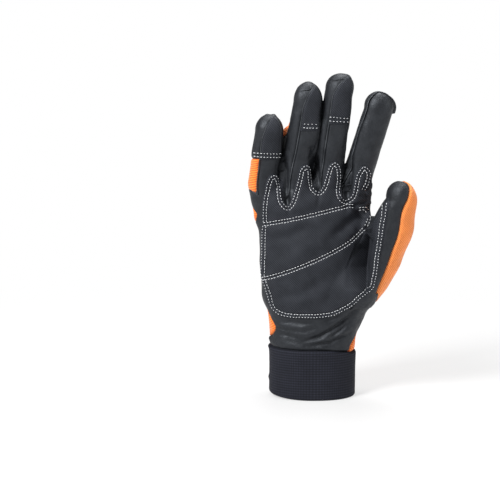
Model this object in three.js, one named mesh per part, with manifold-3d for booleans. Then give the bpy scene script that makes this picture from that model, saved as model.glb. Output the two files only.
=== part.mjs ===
// A right-hand chainsaw glove, stuffed as worn and standing on its elastic wrist band.
// Millimetres. X runs across the palm towards the thumb, -Y is the palm's side, Z runs up the fingers.
// The origin is the middle of the mouth of the band.
import * as THREE from 'three';
import { mergeVertices } from 'three/addons/utils/BufferGeometryUtils.js';
import Module from 'manifold-3d';

const wasm = await Module();
wasm.setup();

// Wrist band
const cuffHeight = 40;
const cuffWidth = 67;
const cuffDepth = 46;
const cuffWall = 2.4;
const cuffNeck = 6; // the band's upper edge, tucked inside the hand

// Hand
const palmWidth = 93; // across the roots of the fingers
const palmDepth = 46;
const palmHeight = 128; // from the band to the roots of the fingers

// Fingers: how far each reaches above the roots, and how wide it is
const pinkyReach = 52.4;
const ringReach = 76.9;
const middleReach = 83.3;
const indexReach = 69.8;
const pinkyWidth = 22.4;
const ringWidth = 23.2;
const middleWidth = 21.8;
const indexWidth = 22.6;
const fingerDepth = 20.6;
const fingerCurl = 9; // how far the fingertips lean towards the palm's side

// Thumb
const thumbReach = 112.5; // from its root in the heel of the hand to its tip
const thumbRise = 20; // from the band to that root
const thumbWidth = 41.6; // at its widest, low in the ball of the thumb
const thumbDepth = 36;
const thumbForward = 29; // how far its tip stands in front of the hand's middle

// Walls, seams and patches
const leatherWall = 1.6;
const fabricWall = 1.4;
const patchWall = 1.2;
const seamGap = 0.3;
const tipCapLength = 35;
const tipPatchLength = 36;
const patchInFront = 4; // how far before the hand's middle, front to back, a patch ends
const capOverlap = 1.08; // a fingertip's zone, as a share of the finger's half width
const patchMargin = 0.08; // between a fingertip patch and the edges of the front panel, as such a share

// Facets
const handSides = 26;
const fingerSides = 14;
const thumbSides = 18;
const handRings = 10;
const fingerRings = 5;
const thumbRings = 7;
const domeRings = 3;
const stripSteps = 4;
const depthSteps = 8;
const roundness = 2.25; // power of the rounded sections: 2 is an ellipse, more is squarer

const far = 3 * (palmWidth + palmHeight); // longer than the glove, for cutting blocks
const straight = 1e-4; // square millimetres: a flatter corner than this is a straight edge
const rootHeight = cuffHeight + palmHeight;
const thumbFoot = cuffHeight + thumbRise;

// The hand's sections. ofCuff and ofPalm are shares of the band's and the palm's half width and half depth.
const handRows = [
  { up: 0.00, side: 0.000, wideOfCuff: 1.00, wideOfPalm: 0.000, deepOfCuff: 1.00, deepOfPalm: 0.00, back: 0.000 },
  { up: 0.08, side: 0.002, wideOfCuff: 0.98, wideOfPalm: 0.000, deepOfCuff: 0.96, deepOfPalm: 0.00, back: 0.010 },
  { up: 0.20, side: 0.010, wideOfCuff: 0.50, wideOfPalm: 0.410, deepOfCuff: 0.48, deepOfPalm: 0.49, back: 0.020 },
  { up: 0.41, side: 0.002, wideOfCuff: 0.00, wideOfPalm: 0.873, deepOfCuff: 0.00, deepOfPalm: 0.95, back: 0.030 },
  { up: 0.66, side: 0.000, wideOfCuff: 0.00, wideOfPalm: 0.910, deepOfCuff: 0.00, deepOfPalm: 0.86, back: 0.020 },
  { up: 0.78, side: -0.007, wideOfCuff: 0.00, wideOfPalm: 0.930, deepOfCuff: 0.00, deepOfPalm: 0.78, back: 0.000 },
  { up: 0.90, side: -0.019, wideOfCuff: 0.00, wideOfPalm: 0.945, deepOfCuff: 0.00, deepOfPalm: 0.62, back: -0.020 },
  { up: 0.96, side: -0.022, wideOfCuff: 0.00, wideOfPalm: 0.940, deepOfCuff: 0.00, deepOfPalm: 0.44, back: -0.020 },
  { up: 1.00, side: -0.022, wideOfCuff: 0.00, wideOfPalm: 0.900, deepOfCuff: 0.00, deepOfPalm: 0.10, back: -0.020 },
];

// The fingers: the middle of each at its root, halfway and at its tip, and its width at the root, as shares of
// the palm's width. frontLeft and frontRight bound its front panel, as shares of its half width.
const fingers = [
  { name: 'pinky', reach: pinkyReach, width: pinkyWidth, root: -0.406, half: -0.384, tip: -0.372, rootWide: 0.245,
    frontLeft: -0.45, frontRight: 0.82 },
  { name: 'ring', reach: ringReach, width: ringWidth, root: -0.156, half: -0.090, tip: -0.066, rootWide: 0.266,
    frontLeft: -0.32, frontRight: 0.85 },
  { name: 'middle', reach: middleReach, width: middleWidth, root: 0.111, half: 0.155, tip: 0.200, rootWide: 0.272,
    frontLeft: -0.47, frontRight: 0.88 },
  { name: 'index', reach: indexReach, width: indexWidth, root: 0.363, half: 0.462, tip: 0.494, rootWide: 0.242,
    frontLeft: -0.82, frontRight: 0.95 },
];

// One finger's sections from inside the palm to where its rounded end begins. ofRoot and ofWidth are shares
// of its width at the root and of its own width, bend the way from root to tip, curl the share of fingerCurl.
const fingerRows = [
  { up: -0.60, ofRoot: 0.62, ofWidth: 0.00, deep: 0.60, curl: 0.10 },
  { up: -0.30, ofRoot: 0.86, ofWidth: 0.00, deep: 0.90, curl: 0.11 },
  { up: -0.06, ofRoot: 0.99, ofWidth: 0.00, deep: 1.08, curl: 0.13 },
  { up: 0.06, ofRoot: 0.98, ofWidth: 0.00, deep: 1.10, curl: 0.15 },
  { up: 0.30, ofRoot: 0.40, ofWidth: 0.58, deep: 1.04, curl: 0.35 },
  { up: 0.62, ofRoot: 0.00, ofWidth: 1.00, deep: 1.00, curl: 0.72 },
  { up: 1.00, ofRoot: 0.00, ofWidth: 0.96, deep: 0.94, curl: 1.00 },
];
const fingerDome = 0.52; // height of a rounded fingertip, as a share of the finger's width

// The thumb's sections: side and wide as shares of the palm's and the thumb's width, forward of thumbForward.
const thumbRows = [
  { up: 0.00, side: 0.190, wide: 0.62, deep: 0.72, forward: 0.06 },
  { up: 0.13, side: 0.290, wide: 0.93, deep: 0.92, forward: 0.22 },
  { up: 0.24, side: 0.378, wide: 1.00, deep: 1.00, forward: 0.34 },
  { up: 0.39, side: 0.484, wide: 0.95, deep: 1.00, forward: 0.50 },
  { up: 0.53, side: 0.562, wide: 0.87, deep: 0.92, forward: 0.64 },
  { up: 0.67, side: 0.632, wide: 0.79, deep: 0.80, forward: 0.78 },
  { up: 0.80, side: 0.661, wide: 0.69, deep: 0.71, forward: 0.90 },
  { up: 0.90, side: 0.674, wide: 0.56, deep: 0.61, forward: 1.00 },
];
const thumbDomeStart = 0.88;
// Where the thumb's leather meets its fabric, as a share of its half width, up the thumb
const thumbEdgeRows = [
  { up: 0.18, across: 0.55 }, { up: 0.34, across: 0.48 }, { up: 0.45, across: 0.37 }, { up: 0.58, across: 0.28 },
  { up: 0.70, across: 0.20 }, { up: 0.81, across: 0.20 }, { up: 0.90, across: 0.34 }, { up: 1.05, across: 0.50 },
];
// The line between hand and thumb, palm coordinates: across as a share of half the palm's width
const thumbLineRows = [
  { across: 0.905, up: 0.340 }, { across: 0.930, up: 0.440 }, { across: 0.955, up: 0.530 },
  { across: 0.972, up: 0.620 }, { across: 0.975, up: 0.730 }, { across: 0.955, up: 0.830 },
  { across: 0.985, up: 0.960 }, { across: 1.070, up: 1.045 },
];
// The palm leather's edges: left and right from the band to the finger roots, palm coordinates
const palmLeftRows = [
  { across: -0.645, up: -0.10 }, { across: -0.645, up: 0.06 }, { across: -0.700, up: 0.16 },
  { across: -0.765, up: 0.26 }, { across: -0.855, up: 0.42 }, { across: -0.890, up: 0.66 },
  { across: -0.935, up: 0.84 }, { across: -0.925, up: 0.99 },
];
const palmRightRows = [
  { across: 0.950, up: 0.99 }, { across: 0.955, up: 0.34 }, { across: 1.060, up: 0.32 },
  { across: 1.000, up: 0.22 }, { across: 0.780, up: 0.12 }, { across: 0.640, up: 0.06 }, { across: 0.620, up: -0.10 },
];

// The crown patch: a peak up each finger and a valley between, in palm coordinates
const crownRows = [
  { across: -0.840, up: 0.755 }, { across: -0.835, up: 0.850 }, { across: -0.805, up: 0.950 },
  { across: -0.665, up: 1.062 }, { across: -0.560, up: 0.985 }, { across: -0.530, up: 0.905 },
  { across: -0.437, up: 0.862 }, { across: -0.345, up: 0.905 }, { across: -0.270, up: 1.000 },
  { across: -0.225, up: 1.085 }, { across: -0.140, up: 1.122 }, { across: -0.062, up: 1.085 },
  { across: -0.047, up: 0.985 }, { across: 0.050, up: 0.955 }, { across: 0.150, up: 1.000 },
  { across: 0.220, up: 1.075 }, { across: 0.330, up: 1.140 }, { across: 0.425, up: 1.090 },
  { across: 0.410, up: 0.980 }, { across: 0.515, up: 0.915 }, { across: 0.645, up: 0.950 },
  { across: 0.690, up: 1.055 }, { across: 0.815, up: 1.117 }, { across: 0.920, up: 1.050 },
  { across: 0.855, up: 0.955 }, { across: 0.895, up: 0.895 }, { across: 0.890, up: 0.868 },
  { across: 0.620, up: 0.885 }, { across: 0.480, up: 0.882 },
];
// The palm patch and the heel patch
const palmPatchRows = [
  { across: -0.840, up: 0.742 }, { across: 0.485, up: 0.868 }, { across: 0.620, up: 0.871 },
  { across: 0.890, up: 0.854 }, { across: 0.925, up: 0.800 }, { across: 0.840, up: 0.735 },
  { across: 0.700, up: 0.705 }, { across: -0.845, up: 0.440 },
];
const heelPatchRows = [
  { across: -0.845, up: 0.424 }, { across: 0.700, up: 0.690 }, { across: 0.850, up: 0.700 },
  { across: 0.900, up: 0.620 }, { across: 0.950, up: 0.530 }, { across: 0.955, up: 0.420 },
  { across: 0.790, up: 0.340 }, { across: 0.580, up: 0.245 }, { across: 0.280, up: 0.196 },
  { across: -0.470, up: 0.190 }, { across: -0.650, up: 0.220 }, { across: -0.730, up: 0.310 },
];
// The strip that runs from the heel patch up the ball of the thumb: across from its left silhouette (-1)
const thumbStripRows = [
  { across: -1.20, up: 0.56 }, { across: -1.20, up: 0.83 }, { across: -0.76, up: 0.86 }, { across: -0.70, up: 0.80 },
  { across: -0.62, up: 0.72 }, { across: -0.46, up: 0.61 }, { across: -0.38, up: 0.56 }, { across: -0.35, up: 0.50 },
  { across: -0.60, up: 0.50 },
];

// A smooth curve (Catmull-Rom) through one column of a table, at the height up.
function smooth(rows, column, up) {
  let i = 0;
  while (i < rows.length - 2 && up > rows[i + 1].up) i += 1;
  const before = rows[Math.max(i - 1, 0)];
  const from = rows[i];
  const to = rows[i + 1];
  const after = rows[Math.min(i + 2, rows.length - 1)];
  const span = to.up - from.up;
  const t = Math.min(Math.max((up - from.up) / span, 0), 1);
  const slopeIn = (to[column] - before[column]) / (to.up - before.up) * span;
  const slopeOut = (after[column] - from[column]) / (after.up - from.up) * span;
  const t2 = t * t;
  const t3 = t2 * t;
  return (2 * t3 - 3 * t2 + 1) * from[column] + (t3 - 2 * t2 + t) * slopeIn
    + (3 * t2 - 2 * t3) * to[column] + (t3 - t2) * slopeOut;
}

// Sections: the middle (x, y), half width a and half depth b of a horizontal slice.
function handSection(z) {
  const up = (z - cuffHeight) / palmHeight;
  const of = (column) => smooth(handRows, column, up);
  return {
    z,
    x: of('side') * palmWidth,
    y: of('back') * palmDepth,
    a: (of('wideOfCuff') * cuffWidth + of('wideOfPalm') * palmWidth) / 2,
    b: (of('deepOfCuff') * cuffDepth + of('deepOfPalm') * palmDepth) / 2,
  };
}

function fingerSection(finger, z) {
  const domeStart = rootHeight + finger.reach - fingerDome * finger.width;
  const up = (z - rootHeight) / (domeStart - rootHeight);
  const of = (column) => smooth(fingerRows, column, up);
  const bends = [{ up: -0.6, x: finger.root * 0.98 }, { up: 0, x: finger.root }, { up: 0.5, x: finger.half },
    { up: 1, x: finger.tip }];
  return {
    z,
    x: smooth(bends, 'x', up) * palmWidth,
    y: -of('curl') * fingerCurl,
    a: (of('ofRoot') * finger.rootWide * palmWidth + of('ofWidth') * finger.width) / 2,
    b: of('deep') * fingerDepth / 2,
  };
}

function thumbSection(z) {
  const up = (z - thumbFoot) / thumbReach;
  const of = (column) => smooth(thumbRows, column, up);
  return {
    z,
    x: of('side') * palmWidth,
    y: -of('forward') * thumbForward,
    a: of('wide') * thumbWidth / 2,
    b: of('deep') * thumbDepth / 2,
  };
}

// The points of a rounded section, grown outwards by grow.
function ring(section, sides, grow) {
  const points = [];
  for (let j = 0; j < sides; j += 1) {
    const angle = (j / sides) * 2 * Math.PI;
    const c = Math.cos(angle);
    const s = Math.sin(angle);
    points.push([
      section.x + (section.a + grow) * Math.sign(c) * Math.abs(c) ** (2 / roundness),
      section.y + (section.b + grow) * Math.sign(s) * Math.abs(s) ** (2 / roundness),
      section.z,
    ]);
  }
  return points;
}

function solidOf(vertices, triangles) {
  return new wasm.Manifold(new wasm.Mesh({
    numProp: 3,
    vertProperties: Float32Array.from(vertices),
    triVerts: Uint32Array.from(triangles),
  }));
}

// A closed solid through a stack of rings, with a point over the middle of its lowest and its highest ring.
function loft(rings, foot, top) {
  const sides = rings[0].length;
  const triangles = [];
  const last = (rings.length - 1) * sides;
  const footIndex = rings.length * sides;
  for (let j = 0; j < sides; j += 1) {
    const k = (j + 1) % sides;
    for (let i = 0; i < rings.length - 1; i += 1) {
      const low = i * sides;
      const high = low + sides;
      triangles.push(low + j, low + k, high + k, low + j, high + k, high + j);
    }
    triangles.push(footIndex, k, j, footIndex + 1, last + j, last + k);
  }
  return solidOf([...rings.flat(2), ...foot, ...top], triangles);
}

// A digit: straight rings up to its rounded end, then rings that shrink as a quarter of an ellipse.
function digit(sectionAt, from, domeStart, tip, straightRings, sides, grow) {
  const rings = [];
  for (let i = 0; i <= straightRings; i += 1) {
    rings.push(ring(sectionAt(from + (domeStart - from) * i / straightRings), sides, grow));
  }
  const base = sectionAt(domeStart);
  for (let i = 1; i < domeRings; i += 1) {
    const angle = (i / domeRings) * Math.PI / 2;
    const shrink = Math.cos(angle) ** 0.85;
    rings.push(ring({
      ...base,
      z: domeStart + (tip + grow - domeStart) * Math.sin(angle),
      a: (base.a + grow) * shrink,
      b: (base.b + grow) * shrink,
    }, sides, 0));
  }
  const foot = sectionAt(from);
  return loft(rings, [foot.x, foot.y, from], [base.x, base.y, tip + grow]);
}

function union(solids) {
  return solids.reduce((sum, solid) => sum.add(solid));
}

// The whole hand as one solid, grown by grow. Its foot is at the height from.
function handForm(grow, from) {
  const top = rootHeight;
  const rings = [];
  if (from < cuffHeight) rings.push(ring({ ...handSection(cuffHeight), z: from }, handSides, grow));
  const start = Math.max(from, cuffHeight);
  for (let i = 0; i <= handRings; i += 1) {
    const z = start + (top - start) * i / handRings;
    rings.push(ring(handSection(z), handSides, grow));
  }
  const crest = handSection(top);
  const palm = loft(rings, [0, 0, from], [crest.x, crest.y, top + 1 + grow]);
  const digits = fingers.map((finger) => {
    const tip = rootHeight + finger.reach;
    const domeStart = tip - fingerDome * finger.width;
    const root = rootHeight - 0.45 * finger.reach;
    return digit((z) => fingerSection(finger, z), root, domeStart, tip, fingerRings, fingerSides, grow);
  });
  const thumb = digit(thumbSection, thumbFoot, thumbFoot + thumbDomeStart * thumbReach,
    thumbFoot + thumbReach, thumbRings, thumbSides, grow);
  return union([palm, thumb, ...digits]);
}

// An outline without the points that lie on the straight line between their neighbours.
function corners(outline) {
  const count = outline.length;
  return outline.filter(([x, z], i) => {
    const [beforeX, beforeZ] = outline[(i + count - 1) % count];
    const [afterX, afterZ] = outline[(i + 1) % count];
    const turn = (x - beforeX) * (afterZ - z) - (z - beforeZ) * (afterX - x);
    return Math.abs(turn) > straight;
  });
}

// Cutting blocks
function geometrySolid(geometry) {
  geometry.deleteAttribute('normal');
  geometry.deleteAttribute('uv');
  const merged = mergeVertices(geometry, 1e-4);
  return solidOf(merged.attributes.position.array, merged.index.array);
}

// An outline in X and Z, carried along Y between two depths.
function block(outline, fromY, toY) {
  const shape = new THREE.Shape(corners(outline).map(([x, z]) => new THREE.Vector2(x, z)));
  const geometry = new THREE.ExtrudeGeometry(shape, { depth: toY - fromY, bevelEnabled: false });
  geometry.applyMatrix4(new THREE.Matrix4().makeBasis(
    new THREE.Vector3(1, 0, 0), new THREE.Vector3(0, 0, 1), new THREE.Vector3(0, -1, 0)));
  geometry.translate(0, toY, 0);
  return geometrySolid(geometry);
}

// Everything in front of the surface y = depthAt(z), or behind it.
function side(depthAt, fromZ, toZ, isFront) {
  const steps = depthSteps;
  const outer = isFront ? -far : far;
  const outline = [[outer, fromZ]];
  for (let i = 0; i <= steps; i += 1) {
    const z = fromZ + (toZ - fromZ) * i / steps;
    outline.push([depthAt(z), z]);
  }
  outline.push([outer, toZ]);
  const shape = new THREE.Shape(corners(outline).map(([y, z]) => new THREE.Vector2(y, z)));
  const geometry = new THREE.ExtrudeGeometry(shape, { depth: 2 * far, bevelEnabled: false });
  geometry.applyMatrix4(new THREE.Matrix4().makeBasis(
    new THREE.Vector3(0, 1, 0), new THREE.Vector3(0, 0, 1), new THREE.Vector3(1, 0, 0)));
  geometry.translate(-far, 0, 0);
  return geometrySolid(geometry);
}

const onPalm = (row) => [row.across * palmWidth / 2, cuffHeight + row.up * palmHeight];

function onThumb(row) {
  const z = thumbFoot + row.up * thumbReach;
  const section = thumbSection(Math.min(z, thumbFoot + thumbDomeStart * thumbReach));
  return [section.x + row.across * section.a, z];
}

// A strip up one finger between two shares of its half width, each moved out by grow.
function fingerStrip(finger, left, right, fromZ, toZ, grow) {
  const steps = stripSteps;
  const leftEdge = [];
  const rightEdge = [];
  const domeStart = rootHeight + finger.reach - fingerDome * finger.width;
  for (let i = 0; i <= steps; i += 1) {
    const z = fromZ + (toZ - fromZ) * i / steps;
    const section = fingerSection(finger, Math.min(z, domeStart));
    leftEdge.push([section.x + left * section.a - grow, z]);
    rightEdge.unshift([section.x + right * section.a + grow, z]);
  }
  return [...leftEdge, ...rightEdge];
}

// Pushes every point of an outline outwards by distance, along the mean normal of its two sides.
function widen(outline, distance) {
  const count = outline.length;
  const area = outline.reduce((sum, [x, z], i) => {
    const [nextX, nextZ] = outline[(i + 1) % count];
    return sum + x * nextZ - nextX * z;
  }, 0);
  const turn = Math.sign(area);
  return outline.map(([x, z], i) => {
    const [beforeX, beforeZ] = outline[(i + count - 1) % count];
    const [afterX, afterZ] = outline[(i + 1) % count];
    const a = new THREE.Vector2(x - beforeX, z - beforeZ).normalize();
    const b = new THREE.Vector2(afterX - x, afterZ - z).normalize();
    const normal = new THREE.Vector2((a.y + b.y) * turn, -(a.x + b.x) * turn).normalize();
    const reach = distance / Math.max(normal.x * a.y * turn - normal.y * a.x * turn, 0.5);
    return [x + normal.x * reach, z + normal.y * reach];
  });
}

// The middle of the hand and fingers, front to back, at the height z.
function middleDepth(z) {
  const palmY = handSection(Math.min(z, rootHeight)).y;
  const fingerY = fingerSection(fingers[1], Math.max(z, rootHeight)).y;
  return z < rootHeight ? Math.max(palmY, fingerY) : fingerY;
}

const cutTop = rootHeight + Math.max(...fingers.map((finger) => finger.reach)) + 2 * fingerDepth;
const handFoot = cuffHeight + seamGap;
const outer = handForm(0, handFoot);
const leatherShell = outer.subtract(handForm(-leatherWall, 0));
const fabricShell = outer.subtract(handForm(-fabricWall, 0));

// Regions, each grown by grow: the same region, grown by the seam, is what its neighbours keep clear of.
function thumbZone(grow) {
  const line = thumbLineRows.map(onPalm);
  const [footX, footZ] = line[0];
  const [topX, topZ] = line[line.length - 1];
  return block(widen([...line, [topX + thumbWidth * 2, topZ], [footX + thumbWidth * 2, footZ]], grow), -far, far);
}

function frontZone(grow) {
  const palmOutline = [...palmLeftRows, ...palmRightRows].map(onPalm);
  const strips = fingers.map((finger) => block(
    fingerStrip(finger, finger.frontLeft, finger.frontRight, rootHeight - 0.12 * finger.reach,
      rootHeight + finger.reach - 0.12 * finger.width + grow, grow), -far, far));
  const fingersFront = union(strips).intersect(side((z) => middleDepth(z) + grow, 0, cutTop, true));
  const palmFront = block(widen(palmOutline, grow), -far, far)
    .intersect(side((z) => middleDepth(z) - 2 + grow, 0, cutTop, true));
  return fingersFront.add(palmFront);
}

function thumbFrontZone(grow) {
  const edge = thumbEdgeRows.map(onThumb);
  const [footX, footZ] = edge[0];
  const [topX, topZ] = edge[edge.length - 1];
  const outline = [...edge, [topX - 2 * thumbWidth, topZ], [footX - 2 * thumbWidth, footZ]];
  return block(widen(outline, grow), -far, far)
    .intersect(side((z) => thumbSection(z).y + 0.2 * thumbSection(z).b + grow, 0, cutTop, true));
}

// Between two fingers: from the front seam of one to the front seam of the next, and behind from back seam
// to back seam.
const backSeam = 0.72;

// All that lies beyond one share of a finger's half width: to the right (sign 1) or to the left (sign -1).
function beyond(finger, share, sign, fromZ, toZ, grow) {
  const edge = fingerStrip(finger, share, share, fromZ, toZ, 0).slice(0, stripSteps + 1)
    .map(([x, z]) => [x - sign * grow, z]);
  return block([...edge, [sign * far, toZ], [sign * far, fromZ]], -far, far);
}

function betweenOutline(left, right, leftShare, rightShare, grow) {
  const lowZ = rootHeight - 0.2 * Math.min(left.reach, right.reach) - grow;
  const topOf = (finger) => rootHeight + finger.reach - 0.3 * finger.width + grow;
  const both = beyond(left, leftShare, 1, lowZ, topOf(left), grow)
    .intersect(beyond(right, rightShare, -1, lowZ, topOf(right), grow));
  const [taller, share, sign] = left.reach > right.reach ? [left, leftShare, 1] : [right, rightShare, -1];
  const shorter = taller === left ? right : left;
  const shorterTip = fingerSection(shorter, topOf(shorter)).x - sign * shorter.width * 0.55;
  const reachZ = topOf(shorter) - shorter.width / 2;
  const above = beyond(taller, share, sign, reachZ, topOf(taller), grow)
    .intersect(block([[shorterTip + sign * grow, reachZ], [shorterTip + sign * grow, far],
      [-sign * far, far], [-sign * far, reachZ]], -far, far));
  return both.add(above);
}

function betweenZone(left, right, grow) {
  const front = betweenOutline(left, right, left.frontRight, right.frontLeft, grow)
    .intersect(side((z) => middleDepth(z) + grow, 0, cutTop, true));
  const back = betweenOutline(left, right, backSeam, -backSeam, grow)
    .intersect(side((z) => middleDepth(z) - 0.1 - grow, 0, cutTop, false));
  return front.add(back);
}

function capZone(finger, grow) {
  const from = rootHeight + finger.reach - tipCapLength - grow;
  return block(fingerStrip(finger, -capOverlap, capOverlap, from, rootHeight + finger.reach + far / 8, grow), -far, far);
}

// Cutting can leave crumbs beside a panel: the panel is its largest body.
function panel(solid) {
  const bodies = solid.decompose();
  bodies.sort((a, b) => b.volume() - a.volume());
  return bodies[0];
}

const thumbGrown = thumbZone(seamGap);
const frontGrown = frontZone(seamGap);
const thumbFrontGrown = thumbFrontZone(seamGap);
const betweens = fingers.slice(1).map((finger, i) => betweenZone(fingers[i], finger, 0));
const betweensGrown = fingers.slice(1).map((finger, i) => betweenZone(fingers[i], finger, seamGap));
const caps = fingers.map((finger) => capZone(finger, 0));
const capsGrown = fingers.map((finger) => capZone(finger, seamGap));

// The band: a closed profile of (inset, height), swept round. Its neck follows the hand's own section.
function cuff() {
  const neckInset = Math.max(leatherWall, fabricWall) + 2 * seamGap;
  const profile = [
    [cuffWall, 0], [0, 0], [0, cuffHeight / 2], [0, cuffHeight], [neckInset, cuffHeight],
    [neckInset, cuffHeight + cuffNeck], [neckInset + cuffWall, cuffHeight + cuffNeck],
    [neckInset + cuffWall, cuffHeight - cuffWall], [cuffWall, cuffHeight - 2 * cuffWall],
  ];
  const rings = profile.map(([inset, z]) => ring({ ...handSection(Math.max(z, cuffHeight)), z }, handSides, -inset));
  const triangles = [];
  for (let i = 0; i < rings.length; i += 1) {
    const low = i * handSides;
    const high = ((i + 1) % rings.length) * handSides;
    for (let j = 0; j < handSides; j += 1) {
      const k = (j + 1) % handSides;
      triangles.push(low + j, low + k, high + k, low + j, high + k, high + j);
    }
  }
  return solidOf(rings.flat(2), triangles);
}

function palmLeather() {
  return panel(leatherShell.intersect(frontZone(0)).subtract(thumbGrown));
}

function thumbLeather() {
  return panel(leatherShell.intersect(thumbZone(0)).intersect(thumbFrontZone(0)));
}

function thumbFabric() {
  return panel(fabricShell.intersect(thumbZone(0)).subtract(thumbFrontGrown));
}

function fourchette(index) {
  return panel(leatherShell.intersect(betweens[index]).subtract(frontGrown).subtract(thumbGrown));
}

function tipCap(index) {
  const cut = union([frontGrown, ...betweensGrown]);
  return panel(leatherShell.intersect(caps[index]).subtract(cut));
}

function backFabric() {
  const cut = union([frontGrown, thumbGrown, ...betweensGrown, ...capsGrown]);
  return panel(fabricShell.subtract(cut));
}

// Patches lie on the front, a seam's gap above the leather.
const patchLayer = handForm(seamGap + patchWall, handFoot).subtract(handForm(seamGap, 0));

function rounded(outline, pointsPerSide) {
  const curve = new THREE.CatmullRomCurve3(
    outline.map(([x, z]) => new THREE.Vector3(x, 0, z)), true, 'centripetal');
  return curve.getPoints(outline.length * pointsPerSide).slice(0, -1).map((point) => [point.x, point.z]);
}

function palmPatch(outline) {
  return panel(patchLayer.intersect(block(outline, -far, far))
    .intersect(side((z) => middleDepth(z) - patchInFront, 0, cutTop, true)).subtract(heelZone(seamGap)));
}

function tipPatch(finger) {
  const top = rootHeight + finger.reach;
  const outline = fingerStrip(finger, finger.frontLeft + patchMargin, finger.frontRight - patchMargin,
    top - tipPatchLength, top - 0.34 * finger.width, 0);
  return panel(patchLayer.intersect(block(outline, -far, middleDepth(top) - 1)));
}

// The strip on the thumb: its outline runs on from the heel patch, in front of the thumb's middle.
function thumbStrip(grow) {
  return block(widen(thumbStripRows.map(onThumb), grow), -far, far)
    .intersect(side((z) => thumbSection(z).y + 1, 0, cutTop, true));
}

function heelZone(grow) {
  const heel = block(widen(heelPatchRows.map(onPalm), grow), -far, far)
    .intersect(side((z) => middleDepth(z) - patchInFront + grow, 0, cutTop, true));
  return heel.add(thumbStrip(grow));
}

function heelPatch() {
  return panel(patchLayer.intersect(heelZone(0)));
}

const colours = { leather: 0x26282b, patch: 0x2f3134, orange: 0xf26b22, band: 0x1f2125 };

function mesh(name, solid, finish) {
  const { vertProperties, triVerts } = solid.getMesh();
  const geometry = new THREE.BufferGeometry();
  geometry.setAttribute('position', new THREE.BufferAttribute(Float32Array.from(vertProperties), 3));
  geometry.setIndex(new THREE.BufferAttribute(Uint32Array.from(triVerts), 1));
  geometry.computeVertexNormals();
  const material = new THREE.MeshStandardMaterial({ name: finish, color: colours[finish], roughness: 0.7 });
  const result = new THREE.Mesh(geometry, material);
  result.name = name;
  return result;
}

const glove = new THREE.Group();
glove.name = 'chainsaw_glove';
glove.add(mesh('cuff', cuff(), 'band'));
glove.add(mesh('palm_leather', palmLeather(), 'leather'));
glove.add(mesh('thumb_leather', thumbLeather(), 'leather'));
glove.add(mesh('back_fabric', backFabric(), 'orange'));
glove.add(mesh('thumb_fabric', thumbFabric(), 'orange'));
for (let i = 0; i < betweens.length; i += 1) {
  glove.add(mesh(`fourchette_${fingers[i].name}_${fingers[i + 1].name}`, fourchette(i), 'leather'));
}
for (let i = 0; i < fingers.length; i += 1) {
  glove.add(mesh(`tip_cap_${fingers[i].name}`, tipCap(i), 'leather'));
}
glove.add(mesh('crown_patch', palmPatch(rounded(crownRows.map(onPalm), 1)), 'patch'));
glove.add(mesh('palm_patch', palmPatch(palmPatchRows.map(onPalm)), 'patch'));
glove.add(mesh('heel_patch', heelPatch(), 'patch'));
for (const finger of fingers.slice(0, 3)) {
  glove.add(mesh(`tip_patch_${finger.name}`, tipPatch(finger), 'patch'));
}

export default glove;
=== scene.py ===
# The looks of a right-hand work glove, stuffed as worn and standing on its elastic band.
# Shapes are worked out in millimetres and become metres when a mesh is made.
# X runs to the thumb, -Y is the palm's side, Z runs up the fingers.
import math
import bmesh
import bpy
import numpy as np
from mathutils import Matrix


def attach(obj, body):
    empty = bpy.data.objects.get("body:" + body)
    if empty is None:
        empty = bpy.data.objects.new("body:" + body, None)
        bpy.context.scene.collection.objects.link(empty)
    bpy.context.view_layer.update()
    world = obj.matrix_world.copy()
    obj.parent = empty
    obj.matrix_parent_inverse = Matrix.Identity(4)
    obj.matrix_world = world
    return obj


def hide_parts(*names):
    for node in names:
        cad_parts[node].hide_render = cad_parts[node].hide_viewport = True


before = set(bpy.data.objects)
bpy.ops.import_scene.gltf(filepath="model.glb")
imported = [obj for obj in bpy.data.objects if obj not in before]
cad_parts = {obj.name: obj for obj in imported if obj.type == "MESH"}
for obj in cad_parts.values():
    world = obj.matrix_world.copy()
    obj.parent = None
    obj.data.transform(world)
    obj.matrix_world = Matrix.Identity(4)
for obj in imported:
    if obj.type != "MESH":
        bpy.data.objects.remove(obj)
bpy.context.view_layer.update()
print("frame loaded:", len(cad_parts), "nodes")

millimetre = 0.001

# Camera, at the photograph's angle and distance
view = {"lens": 92.7, "tilt": 80.0, "place": (-0.049, -0.985, 0.2886)}
cameraData = bpy.data.cameras.new("camera")
cameraData.lens = view["lens"]
cameraData.sensor_width = 36
cameraData.clip_end = 20
camera = bpy.data.objects.new("camera", cameraData)
camera.location = view["place"]
camera.rotation_euler = (math.radians(view["tilt"]), 0, 0)
bpy.context.scene.collection.objects.link(camera)
bpy.context.scene.camera = camera

# The form: slices of the hand, the fingers and the thumb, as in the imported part
form = {
    "roundness": 2.25,  # power of a slice: 2 is an ellipse, more is squarer
    "dome": 2.1,  # the same for the rounded tips
    "sliceStep": 0.5,  # between two slices of a limb
    "fingerBlend": 1.8,  # how softly two fingers meet
    "rootBlend": 6.0,  # fingers and palm
    "webBlend": 5.0,  # palm and the skin beside the thumb
    # thumb and palm: low, high, and where it changes
    "thumbBlend": 6.0, "crotchBlend": 3.0, "crotch": (120, 148),
}
handTable = np.array([  # height, middle x, middle y, half width, half depth
    (-10, 0, 0, 33.5, 23), (38, 0, 0, 33.5, 23), (50.24, 0.9, 0.46, 34.0, 22.08),
    (65.6, 3.1, 0.92, 38.9, 22.31),
    (79, 1.2, 1.15, 40.4, 22.1), (92.48, 0.19, 1.38, 40.59, 21.85), (124.48, 0, 0.92, 42.32, 19.78),
    (139.84, -0.65, 0, 43.25, 17.94), (155.2, -1.77, -0.92, 43.94, 14.26),
    (162.88, -2.05, -0.92, 43.71, 10.12),
    (168, -2.05, -0.92, 41.85, 2.3)])
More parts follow.
